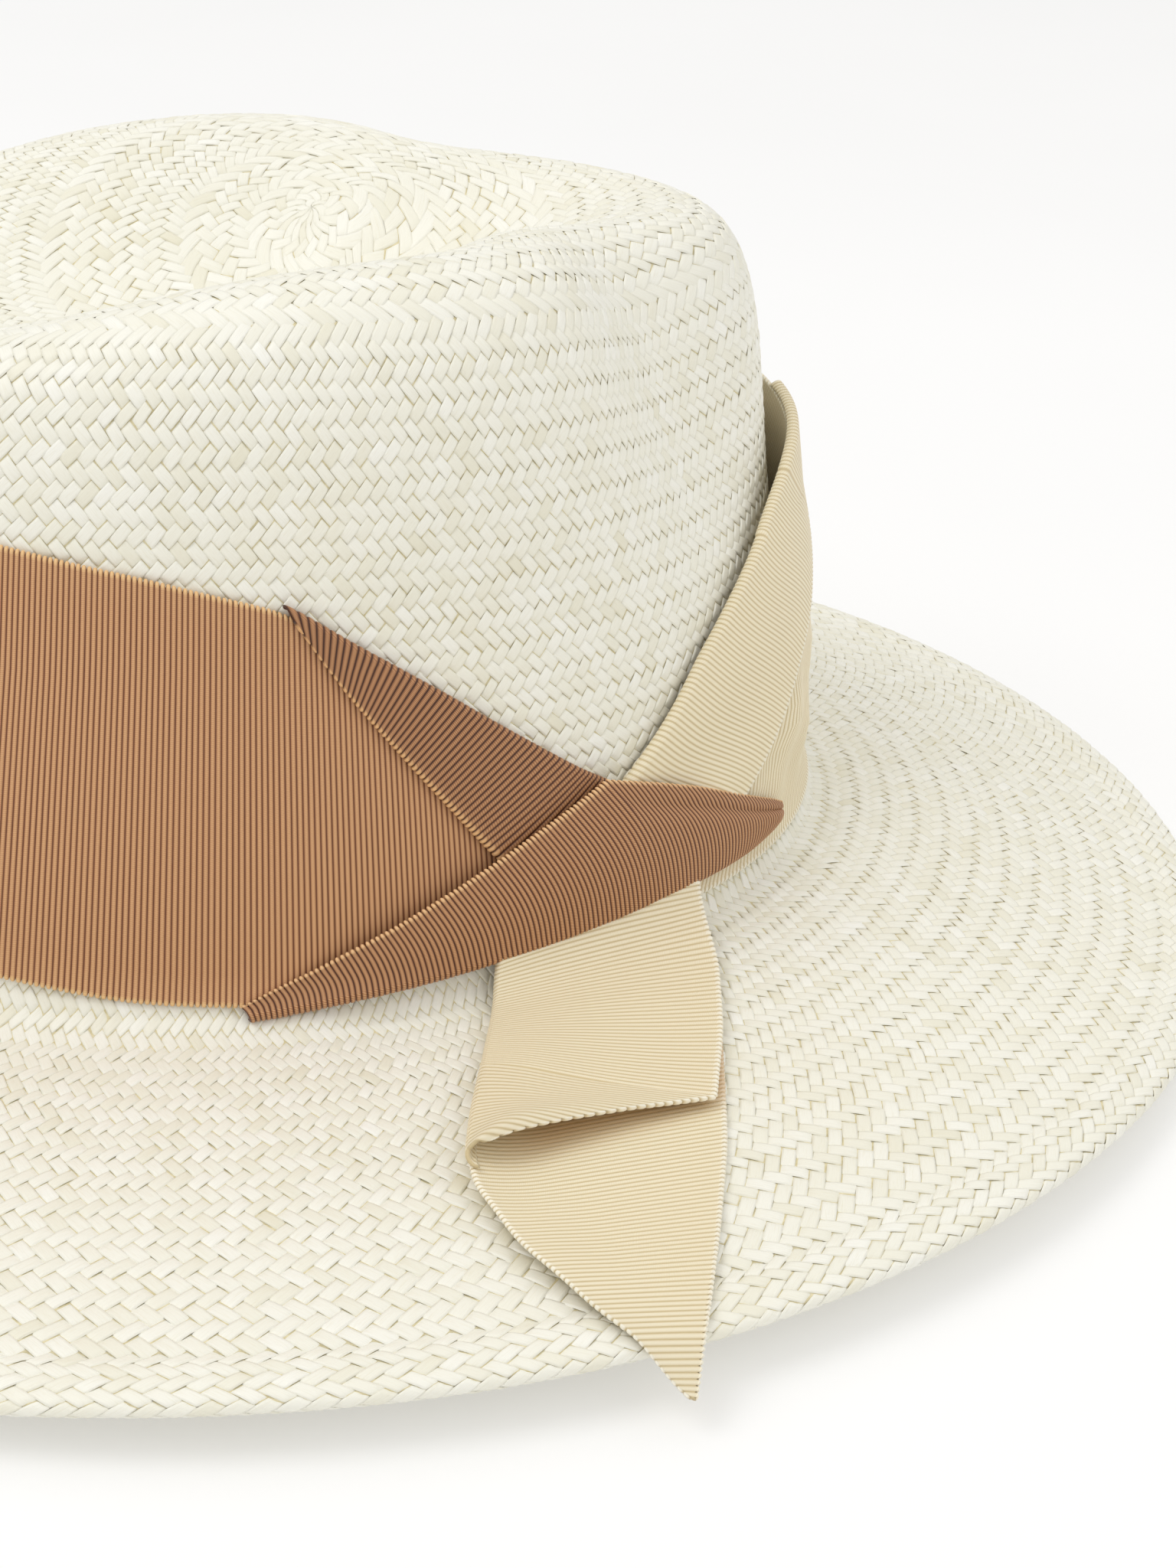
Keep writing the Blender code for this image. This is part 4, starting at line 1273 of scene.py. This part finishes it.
def build_straw(random):
    straw = straw_material("bleached_straw")
    under = gap_shade_backing_material()
    fine_top = np.concatenate([np.linspace(0, 1, 260), np.linspace(1, 2, 260)[1:],
                               np.linspace(2, 3, 160)[1:]])
    crown = surface_table(by_length(fine_top, crown_share))
    hem_at = brim_station(TURN, oval_radius(TURN, BRIM_HALF_LENGTH, BRIM_HALF_WIDTH) - HEM_WIDTH)
    rows = np.arange((BRIM_ROWS + 1) * TABLE_STEPS + 1) / (BRIM_ROWS * TABLE_STEPS)
    brim = surface_table(brim_rows(hem_at, rows))
    hem = hem_table()
    pieces = woven("crown", crown, 0, CROWN_ROWS, crown_count, straw, random)
    pieces.append(backing("crown_under_layer", crown, 1, under, True))
    stand_for(pieces, "straw_crown")
    pieces = woven("brim", brim, 0, BRIM_ROWS, lambda row: BRIM_FLOATS, straw, random)
    pieces.append(backing("brim_under_layer", [table[:, :-TABLE_STEPS] for table in brim], 0, under, False))
    stand_for(pieces, "straw_brim")
    pieces = [weave("hem_weave", hem, range(HEM_ROWS), lambda row: BRIM_FLOATS, False, straw, random, 1),
              hem_core(hem, under)]
    stand_for(pieces, "brim_hem")


def brim_rows(hem_at, rows):
    """Stations from the seam to the hem, evenly spaced along the profile at each angle."""
    fine = np.concatenate([np.linspace(3, 4, 60), np.linspace(4, 5, 240)[1:]])
    angle = TURN[:, None] + 0 * fine[None, :]
    points = hat_point(angle, fine[None, :] + 0 * angle)
    steps = np.linalg.norm(np.diff(points, axis=1), axis=-1)
    length = np.concatenate([np.zeros((len(TURN), 1)), np.cumsum(steps, axis=1)], axis=1)
    stations = []
    for i in range(len(TURN)):
        whole = np.interp(hem_at[i], fine, length[i])
        stations.append(np.interp(rows * whole, length[i], fine))
    return np.array(stations)


def hem_core(tables, material):
    """Closed ring under the hem's floats."""
    turn = np.arange(360) / 360
    rows = np.arange(TABLE_STEPS, (HEM_ROWS + 1) * TABLE_STEPS + 1, 2)
    grid_turn, grid_row = np.meshgrid(turn, rows)
    base = read(tables[0], grid_turn, grid_row) - unit(read(tables[1], grid_turn, grid_row)) * BACKING
    quads = grid_quads(len(rows) + 1, 360, closed=True) % (len(rows) * 360)
    return new_object("hem_core", base.reshape(-1, 3), quads, material)


def add_painted_loop_shade(item):
    """The lower layer takes a warmer painted shade where it lies under the open loop."""
    spots = np.array([vertex.co for vertex in item.data.vertices]) - SHIFT
    ahead, aside, _ = from_fold(spots[:, :2])
    beyond_cut = ahead - (0.0495 - 0.694 * aside)
    painted_loop_shade = smooth_step(0.0055, -0.004, beyond_cut) * smooth_step(-0.001, 0.012, aside)
    upper_face = np.arange(len(painted_loop_shade)) < len(painted_loop_shade) // 2
    add_values(item, "painted_loop_shade", 0.55 * painted_loop_shade * upper_face)


def build_ribbons():
    # Per ribbon: rib tops (painted sheen), rib sides, painted shade in the grooves, painted highlight, then
    # sheen weight.
    tan = grosgrain_material("tan_grosgrain", linear(206, 154, 112), linear(180, 124, 84),
                             linear(108, 60, 34),
                             linear(236, 194, 138), 0.15)
    cream = grosgrain_material("cream_grosgrain", linear(240, 228, 196), linear(231, 215, 178),
                               linear(208, 188, 144), linear(252, 246, 228), 0.15)
    # The folded and shaded tan copies are darker all over: painted shade for ribs that face away from the
    # light.
    folded = grosgrain_material("tan_grosgrain_folded_painted_shade", linear(184, 130, 88), linear(152, 96, 60),
                                linear(72, 34, 16), linear(238, 194, 142), 0.12)
    shaded = grosgrain_material("tan_grosgrain_shaded", linear(166, 112, 74), linear(132, 82, 50),
                                linear(62, 28, 13), linear(226, 178, 124), 0.12)
    pieces = {
        "tan_band": tan_band(tan), "tan_upper_fold": tan_flap(shaded), "tan_crossing": tan_knot(folded),
        "cream_band": cream_band(cream), "cream_upper_fold": cream_flap(cream),
    }
    for node, piece in pieces.items():
        stand_for([piece], node)
    back = tail_back(cream)
    # Painted shade, orange, on the lower layer under the open loop.
    add_painted_loop_shade(back)
    front = tail_front(cream)
    for piece, node in ((back, "cream_tail"), (front, "cream_tail_fold")):
        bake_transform(piece)
        stand_for([piece], node, body="")
    pieces["cream_tail"] = back
    pieces["cream_tail_fold"] = front
    return pieces, tan


def build_trim(tan):
    leather = grain_material("leather", (linear(178, 138, 98), linear(196, 157, 116)), 2600.0, 0.55)
    thread = grain_material("sewing_thread", (linear(214, 194, 158), linear(228, 212, 180)), 9000.0, 0.7)
    card = grain_material("blank_card", (linear(232, 227, 214), linear(240, 236, 225)), 5000.0, 0.8, 0.15)
    band = sweatband(leather)
    stand_for([band], "sweatband")
    stand_for([sweatband_stitches(thread)], "sweatband_thread")
    bow_pieces = bow(tan)
    stand_for(bow_pieces, "sweatband_bow")
    tab = blank_tab(card)
    stand_for([tab], "size_tab")
    stand_for([join_stitches("join_stitches_front", 94.9, thread)], "band_join_thread_front")
    stand_for([join_stitches("join_stitches_back", 97.0, thread)], "band_join_thread_back")
    for number, (degrees, height) in enumerate(TACKS, start=1):
        stand_for([tack_stitch(number, degrees, height, thread)], f"ribbon_tack_{number}")
    return band, bow_pieces, tab


def main():
    random = np.random.default_rng(11)
    build_straw(random)
    ribbons, tan = build_ribbons()
    band, bow_pieces, tab = build_trim(tan)
    make_camera()
    make_stage()


main()
